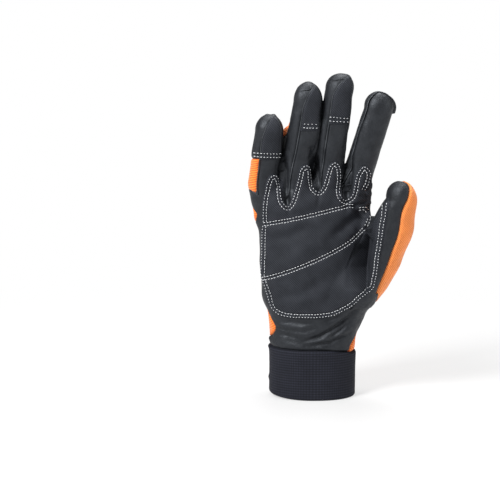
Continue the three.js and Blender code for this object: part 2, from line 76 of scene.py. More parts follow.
thumbTable = np.array([
    (60, 18.2, -1.74, 12.9, 12.96), (74.63, 28.3, -6.38, 19.34, 16.56), (87, 35.15, -9.86, 20.8, 18),
    (103.88, 45.01, -14.5, 19.76, 18), (119.63, 52.27, -18.56, 18.1, 16.56),
    (135.38, 58.78, -22.62, 16.43, 14.4),
    (150, 61.5, -26.1, 14.1, 12.78), (161.25, 65.2, -29, 10.4, 10.98)])
# beside the thumb
webTable = np.array([(108, 36, -8, 7, 8), (128, 41, -9.5, 7, 8), (143, 44.8, -11.5, 5, 6.5)])
# reach above the roots, width, then middle at root, halfway and tip, width at root, taper at tip
fingerTable = {
    "pinky": (52.4, 23.4, -38.4, -36.6, -34.5, 24.2, 0.94),
    "ring": (76.3, 26.4, -14.9, -9.1, -5.2, 27.0, 0.86),
    "middle": (83.3, 22.5, 10.32, 14.0, 18.5, 25.3, 0.98),
    "index": (69.8, 23.5, 32.3, 40.3, 48.2, 24.2, 1.0)}
# the bulge behind the ring finger
ringBackTable = np.array([(158, -17.4, 0, 8.4, 5.2), (180, -17, 0, 8.4, 5.2), (205, -16, 0, 8.4, 4.8)])
fingerShape = np.array([  # up the finger, share of root width, of own width, of depth, of curl
    (-0.60, 0.62, 0.00, 0.60, 0.10), (-0.30, 0.86, 0.00, 0.90, 0.11), (-0.06, 0.99, 0.00, 1.08, 0.13),
    (0.06, 0.98, 0.00, 1.10, 0.15), (0.30, 0.40, 0.58, 1.04, 0.35), (0.62, 0.00, 1.00, 1.00, 0.72),
    (1.00, 0.00, 0.96, 0.94, 1.00)])
fingerForm = {"root": 168.0, "depth": 20.6, "curl": 9.0, "dome": 0.52, "foot": -0.6, "rows": 60,
              "taperFrom": 0.45}


# A smooth curve through a table's rows at the places given: cubic pieces whose slope at a row is that of the
# straight line between its two neighbours. The first column is the place along the curve.
def smoothRows(table, places):
    at = np.clip(places, table[0, 0], table[-1, 0])
    low = np.clip(np.searchsorted(table[:, 0], at, side="right") - 1, 0, len(table) - 2)
    slopes = np.gradient(table[:, 1:], axis=0)
    gaps = np.gradient(table[:, 0])
    slopes = slopes / gaps[:, None]
    span = (table[low + 1, 0] - table[low, 0])[..., None]
    t = (at[..., None] - table[low, 0][..., None]) / span
    return ((2 * t**3 - 3 * t**2 + 1) * table[low, 1:] + (t**3 - 2 * t**2 + t) * slopes[low] * span
            + (3 * t**2 - 2 * t**3) * table[low + 1, 1:] + (t**3 - t**2) * slopes[low + 1] * span)


def smoothStep(low, high, value):
    t = np.clip((value - low) / (high - low), 0, 1)
    return t * t * (3 - 2 * t)

# One limb: its slices from foot to where the rounded tip begins, and the heights of its ends.
def makeLimb(table, foot, domeStart, tip, footDepth):
    heights = np.arange(foot, domeStart + form["sliceStep"] / 2, form["sliceStep"])
    return {"heights": heights, "slices": smoothRows(table, heights), "foot": foot, "domeStart": domeStart,
            "tip": tip, "footDepth": footDepth}


# A finger's slices: its middle runs through root, half and
# tip, and its sizes are the shape's shares of its own.
def makeFinger(reach, width, root, half, tip, rootWide, taper):
    rise = reach - fingerForm["dome"] * width
    up = np.linspace(fingerForm["foot"], 1, fingerForm["rows"])
    shares = smoothRows(fingerShape, up)
    shares[:, 1] *= 1 + (taper - 1) * smoothStep(fingerForm["taperFrom"], 1, up)
    middle = smoothRows(np.array([(fingerForm["foot"], root * 0.98), (0, root), (0.5, half), (1, tip)]),
                        up)[:, 0]
    wide = shares[:, 0] * rootWide + shares[:, 1] * width
    table = np.stack([fingerForm["root"] + up * rise, middle, -shares[:, 3] * fingerForm["curl"], wide / 2,
                      shares[:, 2] * fingerForm["depth"] / 2], 1)
    return makeLimb(table, table[0, 0], fingerForm["root"] + rise, fingerForm["root"] + reach, 10)


hand = makeLimb(handTable, -10, 167, 173, 10)
thumb = makeLimb(thumbTable, 60, 159, 172.5, 14)
web = makeLimb(webTable, 108, 139.5, 145, 12)
ringBack = makeLimb(ringBackTable, 158, 202, 212, 10)
fingers = {name: makeFinger(*row) for name, row in fingerTable.items()}


def sliceAt(limb, height):
    at = np.clip(height, limb["foot"], limb["domeStart"])
    return [np.interp(at, limb["heights"], limb["slices"][:, i]) for i in range(4)]


# Distance from a limb: along the line from the slice's
# middle, the length less the length to the rounded section.
def limbDistance(limb, points):
    x, y, z = points[..., 0], points[..., 1], points[..., 2]
    midX, midY, halfWide, halfDeep = sliceAt(limb, z)
    rise = np.maximum(z - limb["domeStart"], 0)
    sink = np.maximum(limb["foot"] - z, 0)
    ends = rise / (limb["tip"] - limb["domeStart"]) + sink / limb["footDepth"]
    n, m = form["roundness"], form["dome"]
    across = (np.abs((x - midX) / halfWide) ** n + np.abs((y - midY) / halfDeep) ** n) ** (1 / n)
    reach = np.maximum((across**m + ends**m) ** (1 / m), 1e-6)
    length = np.sqrt((x - midX) ** 2 + (y - midY) ** 2 + (rise + sink) ** 2)
    return length - length / reach


# The smaller of two distances, rounded where they are within blend of each other.
def softLess(a, b, blend):
    near = np.maximum(blend - np.abs(a - b), 0) / blend
    return np.minimum(a, b) - near * near * blend / 4


# Distance from the whole glove's smooth form: the fingers blended, then the hand, the web and the thumb.
def formDistance(points):
    body = None
    for limb in [*fingers.values(), ringBack]:
        one = limbDistance(limb, points)
        body = one if body is None else softLess(body, one, form["fingerBlend"])
    body = softLess(body, limbDistance(hand, points), form["rootBlend"])
    body = softLess(body, limbDistance(web, points), form["webBlend"])
    low = 1 - smoothStep(*form["crotch"], points[..., 2])
    soft = form["crotchBlend"] + (form["thumbBlend"] - form["crotchBlend"]) * low
    return softLess(body, limbDistance(thumb, points), soft)


# The direction in which the distance grows fastest, by small differences.
def outward(points):
    step = 0.15
    slope = np.stack([formDistance(points + step * axis) - formDistance(points - step * axis)
                      for axis in np.eye(3)], -1)
    return slope / np.maximum(np.linalg.norm(slope, axis=-1, keepdims=True), 1e-9)


trace = {"steps": 26, "share": 0.8, "longest": 90, "side": 200.0, "fromDigit": 0.6, "fromHand": 0.5,
         "frontSteps": 46, "frontShare": 0.7, "frontFrom": -62.0, "frontEnd": 6}


# Walks along rays from inside until the form's distance is nought, and stops at the two x limits.
def walkOut(start, toward, begin, lowX=-trace["side"], highX=trace["side"]):
    t = begin.copy()
    for _ in range(trace["steps"]):
        t = np.clip(t - trace["share"] * formDistance(start + t[..., None] * toward), 0, trace["longest"])
    dx = np.where(np.abs(toward[..., 0]) < 1e-6, 1e-6, toward[..., 0])
    toHigh = np.where(dx > 0, (highX - start[..., 0]) / dx, 1e3)
    toLow = np.where(dx < 0, (lowX - start[..., 0]) / dx, 1e3)
    t = np.minimum(t, np.maximum(np.minimum(toHigh, toLow), 0))
    return start + t[..., None] * toward


# The front surface at flat places of x and z: walks in from before the palm along +Y.
def frontAt(flat):
    points = np.stack([flat[..., 0], np.full(flat.shape[:-1], trace["frontFrom"]), flat[..., 1]], -1)
    for _ in range(trace["frontSteps"]):
        points[..., 1] += trace["frontShare"] * formDistance(points)
    points[..., 1] = np.minimum(points[..., 1], trace["frontEnd"])
    return points


noiseTable = np.random.default_rng(11).random((32, 32, 32)) * 2 - 1


# Smooth noise from -1 to 1: seeded values on a cubic lattice of that size, blended between the eight corners.
def softNoise(points, size):
    place = points / size
    low = np.floor(place).astype(int)
    f = place - low
    f = f * f * (3 - 2 * f)
    total = 0
    for i in (0, 1):
        for j in (0, 1):
            for k in (0, 1):
                corner = noiseTable[(low[..., 0] + i) % 32, (low[..., 1] + j) % 32, (low[..., 2] + k) % 32]
                weight = (np.abs(1 - i - f[..., 0]) * np.abs(1 - j - f[..., 1]) * np.abs(1 - k - f[..., 2]))
                total = total + corner * weight
    return total


# How far along a line of places each of them is.
def runOf(places):
    return np.concatenate([[0], np.cumsum(np.linalg.norm(np.diff(places, axis=0), axis=1))])


# The shortest distance in the X-Z plane from points to a line through places, and how far along it that is.
def lineDistance(points, places):
    places = np.asarray(places, float)
    best = np.full(points.shape[:-1], 1e9)
    run = np.zeros(points.shape[:-1])
    lengths = runOf(places)
    px, pz = points[..., 0], points[..., 2]
    for i in range(len(places) - 1):
        ax, az = places[i]
        ux, uz = places[i + 1] - places[i]
        t = np.clip(((px - ax) * ux + (pz - az) * uz) / (ux * ux + uz * uz), 0, 1)
        away = np.hypot(px - ax - t * ux, pz - az - t * uz)
        closer = away < best
        best = np.where(closer, away, best)
        run = np.where(closer, lengths[i] + t * (lengths[i + 1] - lengths[i]), run)
    return best, run, lengths[-1]


# Folds and creases on the palm's side: depth, width, and the line in x and z. A negative depth stands proud.
folds = [
    (2.2, 1.8, [(-9, 46.8), (4, 50.7), (16.3, 57.8), (29.3, 65.7)]),
    (-0.5, 1.8, [(-6, 50.5), (4, 54.3), (15, 61.5), (25, 67)]),
    (1.6, 1.6, [(-6.6, 43.6), (3, 44.6), (13.4, 46.5), (27.2, 52.1)]),
    (-0.7, 2.0, [(2, 47.2), (14, 49.5), (27, 56)]),
    (2.0, 1.6, [(12, 49), (20, 54.5), (28.5, 62)]),
    (1.5, 1.6, [(20, 60), (27, 66), (33, 73)]),
    (1.1, 1.8, [(-28.5, 61.1), (-18.2, 62.0), (-7.4, 61.0), (3, 61.8)]),
    (-0.4, 1.5, [(-19, 57.6), (-9, 58.2), (0.2, 60.2)]),
    (0.7, 1.4, [(-20, 55.6), (-8, 54.6), (3, 58.2)]),
    (0.9, 1.3, [(6, 62.5), (14, 64.6), (22, 70)]),
    (1.1, 1.7, [(-26.6, 52.4), (-15.8, 50.2), (-6.6, 47.8)]),
    (1.0, 1.6, [(-31, 57), (-25, 56), (-18, 54.5)]),
    (-0.4, 1.8, [(-26, 47.5), (-14, 45.6)]),
    (0.9, 1.5, [(-24, 47.8), (-13, 46.2), (-3, 42.5)]),
    (1.4, 2.0, [(-22, 160), (-20.5, 152), (-19, 144)]),
    (1.2, 2.0, [(4, 168), (3.5, 158), (2, 150)]),
    (1.4, 2.2, [(27, 162), (25.5, 152), (24, 146)]),
    (1.6, 2.2, [(28, 153.5), (34, 147), (41, 139)]),
    (1.8, 1.5, [(29, 151), (36, 153), (42, 155)]),
    (1.4, 1.5, [(33, 160), (38, 157), (43, 157.5)]),
    (1.2, 1.5, [(34, 165), (39, 162.5), (44, 163)]),
    (1.0, 2.0, [(18, 134), (27, 131), (36, 124)]),
    (4.4, 2.8, [(-24, 186), (-23, 168), (-20.8, 151)]),
    (4.4, 2.6, [(-1.5, 194), (0.3, 177), (3, 162.5)]),
    (4.4, 2.8, [(26.5, 186), (25.4, 169), (24.5, 155.5)]),
    (3.0, 4.5, [(40, 147), (27, 139), (12, 127)]),
    (-1.5, 6.5, [(-34, 99), (-10, 117), (16, 134)]),
    (1.3, 4.0, [(-33, 126), (-20, 128), (-4, 136)]),
    (2.2, 5.0, [(-39, 138), (-10, 144.6), (24, 152.5)]),
    (1.2, 4.5, [(-30, 80), (-10, 84), (10, 96)]),
    (-1.0, 6.0, [(-20, 76), (4, 84), (24, 98)]),
]
surface = {"lumps": 0.7, "lumpSize": 13.0, "ripples": 0.26, "rippleSize": 4.6, "rippleStretch": 0.7,
           # share of a fold's length that fades, and of its depth at its ends
           "foldFade": 0.25, "foldEnds": 0.35}
# Small lumps where seams gather at the fingertips: place, how proud, and how wide
tipLumps = [((-5.0, -9, 243.0), 1.0, 3.4), ((-36.0, -9, 220.0), 1.1, 1.9), ((-30.8, -9, 220.0), 1.1, 1.9),
            ((24.5, -11, 249.0), 0.8, 2.6), ((-33.0, -5, 45.8), 1.5, 2.8)]


# How far the filled glove's skin stands off the smooth
# form: large lumps, small ripples, and the folds in front.
def relief(points, normal):
    height = surface["lumps"] * softNoise(points, surface["lumpSize"])
    height += surface["ripples"] * softNoise(points * (1, 1, surface["rippleStretch"]) + 40,
                                             surface["rippleSize"])
    front = smoothStep(0.1, 0.5, -normal[..., 1])
    for depth, width, places in folds:
        away, run, length = lineDistance(points, places)
        fade = smoothStep(0, surface["foldFade"] * length, run)
        fade = fade * smoothStep(0, surface["foldFade"] * length, length - run)
        deep = surface["foldEnds"] + (1 - surface["foldEnds"]) * fade
        height -= front * depth * deep * np.exp(-((away / width) ** 2))
    for place, proud, wide in tipLumps:
        height += proud * np.exp(-(np.linalg.norm(points - place, axis=-1) / wide) ** 2)
    return height


# The hollow of the palm beside the ball of the thumb, in
# the table's rows: height, share, x of its steep side.
hollowRows = np.array([(80, 0, 38), (88, 0.12, 39.4), (95, 0.55, 40.8), (104, 0.95, 42), (118, 1, 43.2),
                       (127, 0.85, 44), (134, 0.5, 44.8), (141, 0.25, 45.8), (148, 0, 47)])
hollowPlan = {"from": 27.0, "fall": 11.0, "bend": 1.3, "opens": (16, 28), "closes": (-0.3, 1.6), "proud": 0.8,
              "soft": 2, "past": 1.1}


# How far back the skin goes: from x "from" it turns back in a curve, by
# "fall" at the steep side, where the thumb begins. A point that lies behind
# that curve already stays where it is, with a soft change between the two.
def hollow(points):
    x, y, z = points[..., 0], points[..., 1], points[..., 2]
    strength = np.interp(z, hollowRows[:, 0], hollowRows[:, 1])
    steep = np.interp(z, hollowRows[:, 0], hollowRows[:, 2])
    midX, midY, halfWide, halfDeep = sliceAt(hand, z)
    n = form["roundness"]
    share = np.clip((np.minimum(x, hollowPlan["from"]) - midX) / halfWide, 0, 1)
    along = np.clip((x - hollowPlan["from"]) / (steep - hollowPlan["from"]), 0, hollowPlan["past"])
    target = midY - halfDeep * (1 - share**n) ** (1 / n) + hollowPlan["fall"] * along ** hollowPlan["bend"]
    short = target - y - hollowPlan["proud"]
    back = (short + np.sqrt(short * short + hollowPlan["soft"])) / 2
    low, high = hollowPlan["closes"]
    across = smoothStep(*hollowPlan["opens"], x) * (1 - smoothStep(steep + low, steep + high, x))
    return strength * back * across


# Puts points of the smooth form where the skin is: out
# by the relief and the extra height, back by the hollow.
def settle(points, normal, extra):
    moved = points + normal * (relief(points, normal) + extra)[..., None]
    moved[..., 1] += hollow(points)
    return moved


# A signed power, for rounded sections.
def powered(value, power):
    return np.sign(value) * np.abs(value) ** power


# Rays of a digit's sleeve: from the middle of its slice through the point
# of the rounded section at the angle, and above domeStart from the dome's
# middle through the dome. Angle 0 is the front, positive towards the thumb.
def digitRays(limb, level, angle):
    n, m = form["roundness"], form["dome"]
    midX, midY, halfWide, halfDeep = sliceAt(limb, level)
    rise = np.clip((level - limb["domeStart"]) / (limb["tip"] - limb["domeStart"]), 0, 1) * math.pi / 2
    shrink = np.clip(np.cos(rise), 1e-4, 1) ** (2 / m)
    lift = (limb["tip"] - limb["domeStart"]) * np.sin(rise) ** (2 / m)
    base = np.minimum(level, limb["domeStart"])
    start = np.stack([midX, midY, base], -1)
    reach = np.stack([halfWide * shrink * powered(np.sin(angle), 2 / n),
                      -halfDeep * shrink * powered(np.cos(angle), 2 / n), lift], -1)
    length = np.linalg.norm(reach, axis=-1)
    return start, reach / length[..., None], length * trace["fromDigit"]


# The grid of a panel: each level across its columns, and the angles from begin to end.
def gridAngles(level, begin, end, columns):
    angle = begin + (end - begin) * np.linspace(0, 1, columns)[None, :]
    return np.broadcast_to(level, angle.shape), angle


# Arc lengths across and along a grid of points, from its first column and row.
def gridSpans(points):
    across = np.zeros(points.shape[:2])
    across[:, 1:] = np.cumsum(np.linalg.norm(np.diff(points, axis=1), axis=-1), axis=1)
    along = np.zeros(points.shape[:2])
    along[1:] = np.cumsum(np.linalg.norm(np.diff(points, axis=0), axis=-1), axis=0)
    return across, along


seam = {"dip": 1.25, "width": 1.15, "tuck": 1.6}


# Sinks the named edges of a grid into a seam: a dip that fades with distance from
# the edge, then one more line of points straight in. edges holds any of l, r, b, t.
def sewEdges(points, normal, uv, edges, strength=1.0):
    across, along = gridSpans(points)
    away = {"l": across, "r": across[:, -1:] - across, "b": along, "t": along[-1:] - along}
    for edge in edges:
        sunkBy = strength * seam["dip"] * np.exp(-((away[edge] / seam["width"]) ** 2))
        points = points - normal * sunkBy[..., None]
    for edge in edges:
        axis, at = (1 if edge in "lr" else 0), (0 if edge in "lb" else -1)
        lineP, lineN, lineU = (np.take(a, [at], axis=axis) for a in (points, normal, uv))
        extra = lineP - lineN * seam["tuck"]
        order = (lambda new, old: [new, old]) if at == 0 else (lambda new, old: [old, new])
        points = np.concatenate(order(extra, points), axis)
        normal = np.concatenate(order(lineN, normal), axis)
        uv = np.concatenate(order(lineU, uv), axis)
    return points, normal, uv


# A panel of skin over rays: traced on the form, lifted by the relief, its edges sewn down.
def skinPanel(rays, lowX, highX, edges, sunk=0.0, strength=1.0):
    points = walkOut(*rays, lowX, highX)
    normal = outward(points)
    points = settle(points, normal, -sunk)
    across, along = gridSpans(points)
    middle = across[:, across.shape[1] // 2][:, None]
    uv = np.stack([across - middle, along + rays[0][0, 0, 2]], -1)
    return sewEdges(points, normal, uv, edges, strength)


# A tube of rings, closed at its two ends by lids gathered at their middles, as a panel with no cloth map.
def closedTube(rings, outwards, first, last):
    lids = [np.repeat(middle, rings.shape[1], 1) for middle in (first, last)]
    tube = np.concatenate([lids[0], rings, lids[1]])
    face = np.concatenate([outwards[:1], outwards, outwards[-1:]])
    return tube, face, np.zeros(tube.shape[:2] + (2,))


# Joins grids of points into one mesh of quads facing outward, with the spans as a UV map in millimetres.
def gridMesh(name, panels):
    allPoints, allUv, allFaces, offset = [], [], [], 0
    for points, normal, uv in panels:
        rows, columns = points.shape[:2]
        index = np.arange(rows * columns).reshape(rows, columns) + offset
        quads = np.stack([index[:-1, :-1], index[:-1, 1:], index[1:, 1:], index[1:, :-1]], -1).reshape(-1, 4)
        sideA, sideB = points[:-1, 1:] - points[:-1, :-1], points[1:, :-1] - points[:-1, :-1]
        if np.sum(np.cross(sideA, sideB) * normal[:-1, :-1]) < 0:
            quads = quads[:, ::-1]
        allPoints.append(points.reshape(-1, 3))
        allUv.append(uv.reshape(-1, 2))
        allFaces.append(quads)
        offset += rows * columns
    points, uv, faces = np.concatenate(allPoints), np.concatenate(allUv), np.concatenate(allFaces)
    mesh = bpy.data.meshes.new(name)
    mesh.from_pydata((points * millimetre).tolist(), [], faces.tolist())
    layer = mesh.uv_layers.new(name="cloth")
    loops = np.empty(len(mesh.loops), int)
    mesh.loops.foreach_get("vertex_index", loops)
    layer.data.foreach_set("uv", uv[loops].astype(np.float32).ravel())
    work = bmesh.new()
    work.from_mesh(mesh)
    bmesh.ops.remove_doubles(work, verts=work.verts, dist=2e-6)
    bmesh.ops.dissolve_degenerate(work, edges=work.edges, dist=1e-7)
    work.to_mesh(mesh)
    work.free()
    mesh.polygons.foreach_set("use_smooth", np.ones(len(mesh.polygons), bool))
    return mesh


# Makes an object of panels, gives it a wall if asked, and hangs it on the glove.
def addPiece(name, panels, material, wall=0.0, nodes=()):
    mesh = gridMesh(name, panels)
    piece = bpy.data.objects.new(name, mesh)
    bpy.context.scene.collection.objects.link(piece)
    mesh.materials.append(material)
    if wall:
        solid = piece.modifiers.new("wall", "SOLIDIFY")
        solid.thickness = wall * millimetre
        solid.offset = -1
    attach(piece, "root")
    if nodes:
        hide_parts(*nodes)


# Materials. A pattern is a height in the bump and a share in the colour, both from sizes in millimetres.
paint = {}  # node tree and shader of the material begun last, which the functions below add to


def newMaterial(name, colour, roughness, specular):
    material = bpy.data.materials.new(name)
    material.use_nodes = True
    material.diffuse_color = (*colour, 1)
    shader = material.node_tree.nodes["Principled BSDF"]
    shader.inputs["Base Color"].default_value = (*colour, 1)
    shader.inputs["Roughness"].default_value = roughness
    shader.inputs["Specular IOR Level"].default_value = specular
    paint.update(tree=material.node_tree, shader=shader)
    return material


def addNode(kind, links=None, **settings):
    node = paint["tree"].nodes.new(kind)
    for key, value in settings.items():
        setattr(node, key, value)
    for socket, value in (links or {}).items():
        if isinstance(value, bpy.types.NodeSocket):
            paint["tree"].links.new(value, node.inputs[socket])
        else:
            node.inputs[socket].default_value = value
    return node


def toShader(output, socket):
    paint["tree"].links.new(output, paint["shader"].inputs[socket])


def mathOf(operation, a, b=0.0, c=0.5):
    return addNode("ShaderNodeMath", {0: a, 1: b, 2: c}, operation=operation).outputs[0]


# Coordinates in millimetres: of the object, or of the piece's own cloth map.
def objectPlace():
    place = addNode("ShaderNodeTexCoord").outputs["Object"]
    return addNode("ShaderNodeMapping", {"Vector": place, "Scale": (1000, 1000, 1000)}).outputs["Vector"]


def clothPlace():
    split = addNode("ShaderNodeSeparateXYZ",
                    {"Vector": addNode("ShaderNodeUVMap", uv_map="cloth").outputs["UV"]})
    return split.outputs["X"], split.outputs["Y"]


# A wave from 0 to 1 of that pitch along a coordinate: half of one plus the sine.
def waveOf(coordinate, pitch):
    turned = mathOf("MULTIPLY", coordinate, 2 * math.pi / pitch)
    return mathOf("MULTIPLY_ADD", mathOf("SINE", turned), 0.5, 0.5)


def noiseOf(scale, detail=3.0, roughness=0.5):
    settings = {"Vector": objectPlace(), "Scale": scale, "Detail": detail, "Roughness": roughness}
    return addNode("ShaderNodeTexNoise", settings).outputs["Fac"]


def mixColours(share, low, high):
    return addNode("ShaderNodeMix", {0: share, 6: (*low, 1), 7: (*high, 1)}, data_type="RGBA").outputs[2]


# Spreads a value to the range low to high. Noise lies mostly between 0.3 and 0.7.
def spreadOf(value, low, high, fromLow=0.3, fromHigh=0.7):
    return addNode("ShaderNodeMapRange", {0: value, 1: fromLow, 2: fromHigh, 3: low, 4: high}).outputs[0]


# Bumps one after another: each height, in millimetres, tilts the normal of the one before.
def bumpChain(*heights):
    links = {"Strength": 1.0}
    for height, depth in heights:
        links.update({"Height": height, "Distance": depth * millimetre})
        links["Normal"] = addNode("ShaderNodeBump", links).outputs["Normal"]
    toShader(links["Normal"], "Normal")


# edge: a lighter leather tone for the welts, a painted highlight along the seam ridges
leather = {"dark": (0.0045, 0.0050, 0.0065), "light": (0.0140, 0.0151, 0.0180), "edge": (0.075, 0.080, 0.088),
           "rough": (0.46, 0.64), "specular": 0.45, "tint": (0.86, 0.92, 1.0), "clouds": 0.12,
           "grain": 0.9, "grainDepth": 0.05, "creases": 0.45, "creaseDepth": 0.38}


# Grain of rounded cells over fine creases, with dark and light clouds.
def leatherMaterial(name, dark, light):
    material = newMaterial(name, light, 0.5, leather["specular"])
    paint["shader"].inputs["Specular Tint"].default_value = (*leather["tint"], 1)
    cells = addNode("ShaderNodeTexVoronoi", {"Vector": objectPlace(), "Scale": 1 / leather["grain"]},
                    feature="SMOOTH_F1").outputs["Distance"]
    fine = noiseOf(leather["creases"], 5.0, 0.6)
    toShader(mixColours(spreadOf(noiseOf(leather["clouds"], 4.0), 0, 1), dark, light), "Base Color")
    toShader(spreadOf(fine, *leather["rough"]), "Roughness")
    bumpChain((fine, leather["creaseDepth"]), (cells, leather["grainDepth"]))
    return material


patchCloth = {"dark": (0.0050, 0.0055, 0.0075), "light": (0.041, 0.044, 0.054), "specular": 0.3, "pitch": 1.3,
              "depth": 0.14, "clouds": 0.09, "cloudDepth": 0.3, "cloudShare": 0.4}


# Twill: a wave along one diagonal, broken by a finer wave along the other.
def patchMaterial():
    material = newMaterial("patchCloth", patchCloth["light"], 0.72, patchCloth["specular"])
    paint["shader"].inputs["Specular Tint"].default_value = (*leather["tint"], 1)
    split = addNode("ShaderNodeSeparateXYZ", {"Vector": objectPlace()}).outputs
    rising = waveOf(mathOf("ADD", split["X"], split["Z"]), patchCloth["pitch"] * 1.414)
    falling = waveOf(mathOf("SUBTRACT", split["X"], split["Z"]), patchCloth["pitch"] * 1.2)
    twill = mathOf("MULTIPLY", rising, spreadOf(falling, 0.25, 1, 0, 1))
    wide = noiseOf(patchCloth["clouds"])
    clouds = mathOf("MULTIPLY", wide, patchCloth["cloudShare"])
    shade = mathOf("MULTIPLY_ADD", twill, 1 - patchCloth["cloudShare"], clouds)
    toShader(mixColours(spreadOf(shade, 0, 1, 0.15, 0.85), patchCloth["dark"], patchCloth["light"]),
             "Base Color")
    bumpChain((wide, patchCloth["cloudDepth"]), (twill, patchCloth["depth"]))
    return material


# back and thumb are two copies of one orange cloth: the back's is painted darker and redder as shade, the
# thumb's lighter as lit
orangeCloth = {"back": (1.0, 0.27, 0.04), "thumb": (1.0, 0.35, 0.078), "sheen": 0.25, "specular": 0.25,
               # a groove's tone, and how much green and blue it keeps
               "grooveShade": 0.78, "grooveGreen": 0.36,
               "pitch": 1.85, "depth": 0.30, "bow": 0.006, "wander": 0.4, "thumbSlant": 0.35,
               "weave": 0.5, "weaveDepth": 0.03}


# Ribs across the piece: a wave along the cloth map, bowed by the square of the distance from its middle.
def orangeMaterial(name, bright, slant):
    green = orangeCloth["grooveGreen"]
    groove = tuple(part * keep * orangeCloth["grooveShade"] for part, keep in zip(bright, (1, green, green)))
    material = newMaterial(name, bright, 0.75, orangeCloth["specular"])
    paint["shader"].inputs["Sheen Weight"].default_value = orangeCloth["sheen"]
    across, along = clothPlace()
    bow = mathOf("MULTIPLY", mathOf("MULTIPLY", across, across), orangeCloth["bow"])
    bowed = mathOf("ADD", mathOf("SUBTRACT", along, bow), mathOf("MULTIPLY", across, slant))
    run = mathOf("ADD", bowed, spreadOf(noiseOf(0.05, 2.0), -orangeCloth["wander"], orangeCloth["wander"]))
    rib = mathOf("POWER", waveOf(run, orangeCloth["pitch"]), 0.5)
    tone = mixColours(spreadOf(rib, 0, 1, 0.1, 0.8), groove, bright)
    clouds = spreadOf(noiseOf(0.1), 0.92, 1.08)
    toShader(addNode("ShaderNodeHueSaturation", {"Color": tone, "Value": clouds}).outputs["Color"],
             "Base Color")
    bumpChain((rib, orangeCloth["depth"]), (waveOf(across, orangeCloth["weave"]), orangeCloth["weaveDepth"]))
    return material


bandCloth = {"dark": (0.0025, 0.0028, 0.0050), "light": (0.021, 0.0230, 0.036), "specular": 0.25,
             "across": 1.7, "up": 2.0, "depth": 0.14}


# Woven elastic: cords running up, crossed by finer threads.
def bandMaterial():
    material = newMaterial("bandCloth", bandCloth["light"], 0.8, bandCloth["specular"])
    across, along = clothPlace()
    cords = spreadOf(waveOf(across, bandCloth["across"]), 0.5, 1, 0, 1)
    grid = mathOf("MULTIPLY", cords, spreadOf(waveOf(along, bandCloth["up"]), 0.3, 1, 0, 1))
    shade = mathOf("MULTIPLY", grid, spreadOf(noiseOf(0.1), 0.8, 1.1))
    toShader(mixColours(shade, bandCloth["dark"], bandCloth["light"]), "Base Color")
    bumpChain((grid, bandCloth["depth"]))
    return material


thread = {"dark": (0.86, 0.88, 0.92), "light": (0.97, 0.98, 1.0), "twist": 3.0}


def threadMaterial():
    material = newMaterial("thread", (0.62, 0.62, 0.61), 0.7, 0.3)
    toShader(mixColours(noiseOf(thread["twist"], 2.0), thread["dark"], thread["light"]), "Base Color")
    return material


leatherSkin = leatherMaterial("leather", leather["dark"], leather["light"])
# the welts' leather, from the leather's light tone up to edge: a painted highlight on the seam ridges
weltHighlightSkin = leatherMaterial("leatherWeltHighlight", leather["light"], leather["edge"])
patchSkin = patchMaterial()
# lit and shaded copies of one orange: the back's darker copy is painted shade
orangeBackShaded = orangeMaterial("orangeBackShaded", orangeCloth["back"], 0.0)
orangeThumbLit = orangeMaterial("orangeThumbLit", orangeCloth["thumb"], orangeCloth["thumbSlant"])
bandSkin = bandMaterial()
threadSkin = threadMaterial()
print("materials made")

# Hand: leather in front, orange behind, meeting at the left near the front and at the right on the side
walls = {"leather": 1.2, "fabric": 1.1, "side": 1.0, "patch": 0.7, "tipPatch": 0.6}  # thickness of the cloths
handEdges = {  # height, and degrees from the front where the leather ends: on the left, and on the right
    "left": np.array([(31, -96), (45, -96), (49, -74), (54, -62), (59, -64), (65, -78), (70, -92), (76, -99),
                      (132, -100), (137.5, -88), (143.5, -77), (149, -92), (154, -99), (164, -99),
                      (167, -95)]),
    "right": np.array([(31, 58), (42, 62), (51, 84), (60, 88), (81, 90), (88, 100), (127, 102), (132, 110),
                       (140, 120), (148, 126), (158, 116), (167, 98)]),
}
handPlan = {
    "rows": 150, "columns": 116, "foot": 31.0, "top": 167.0,
    "tuck": 2.2, "tuckOver": (-0.3, 2.6),  # how deep the skin goes under the band, and over what height
    # where it goes under the fingers
    "sink": 1.2, "sinkOver": (156, 160), "leftHigher": 6, "leftFrom": (45, 65),
    "thumbSide": 0.97, "thumbOver": (85, 146),  # as far as this share of the half width beside the thumb
    # where rays run straight
    "straight": (8, 28), "straightUp": (80, 90), "straightDown": (120, 131), "least": 3}
bandTop = {"front": 39.3, "left": 0.4, "right": -4.0, "back": -1.0}  # the band's upper edge, and how it rises


# The band's upper edge at an angle round the hand: its front height plus a rise that grows towards each side.
def bandEdge(angle):
    side = np.sin(angle)
    return (bandTop["front"] + bandTop["left"] * np.maximum(-side, 0) ** 1.6
            + bandTop["right"] * np.maximum(side, 0) ** 1.6 + bandTop["back"] * np.maximum(-np.cos(angle), 0))


# Rays from the middle of the hand's slice through the rounded section; beside the thumb they run straight
# to the front or the back, so that they don't meet the thumb from its side.
def handRays(level, angle):
    n = form["roundness"]
    midX, midY, halfWide, halfDeep = sliceAt(hand, level)
    reachX = halfWide * powered(np.sin(angle), 2 / n)
    reachY = -halfDeep * powered(np.cos(angle), 2 / n)
    plain = smoothStep(*handPlan["straight"], reachX) * smoothStep(*handPlan["straightUp"], level)
    plain = plain * (1 - smoothStep(*handPlan["straightDown"], level))
    least = handPlan["least"] * plain
    reachY = np.where(np.cos(angle) > 0, np.minimum(reachY, -least), np.maximum(reachY, least))
    start = np.stack([midX + plain * reachX, midY, level], -1)
    reach = np.stack([(1 - plain) * reachX, reachY, np.zeros_like(reachX)], -1)
    length = np.maximum(np.linalg.norm(reach, axis=-1), 1e-6)
    return start, reach / length[..., None], length * trace["fromHand"]


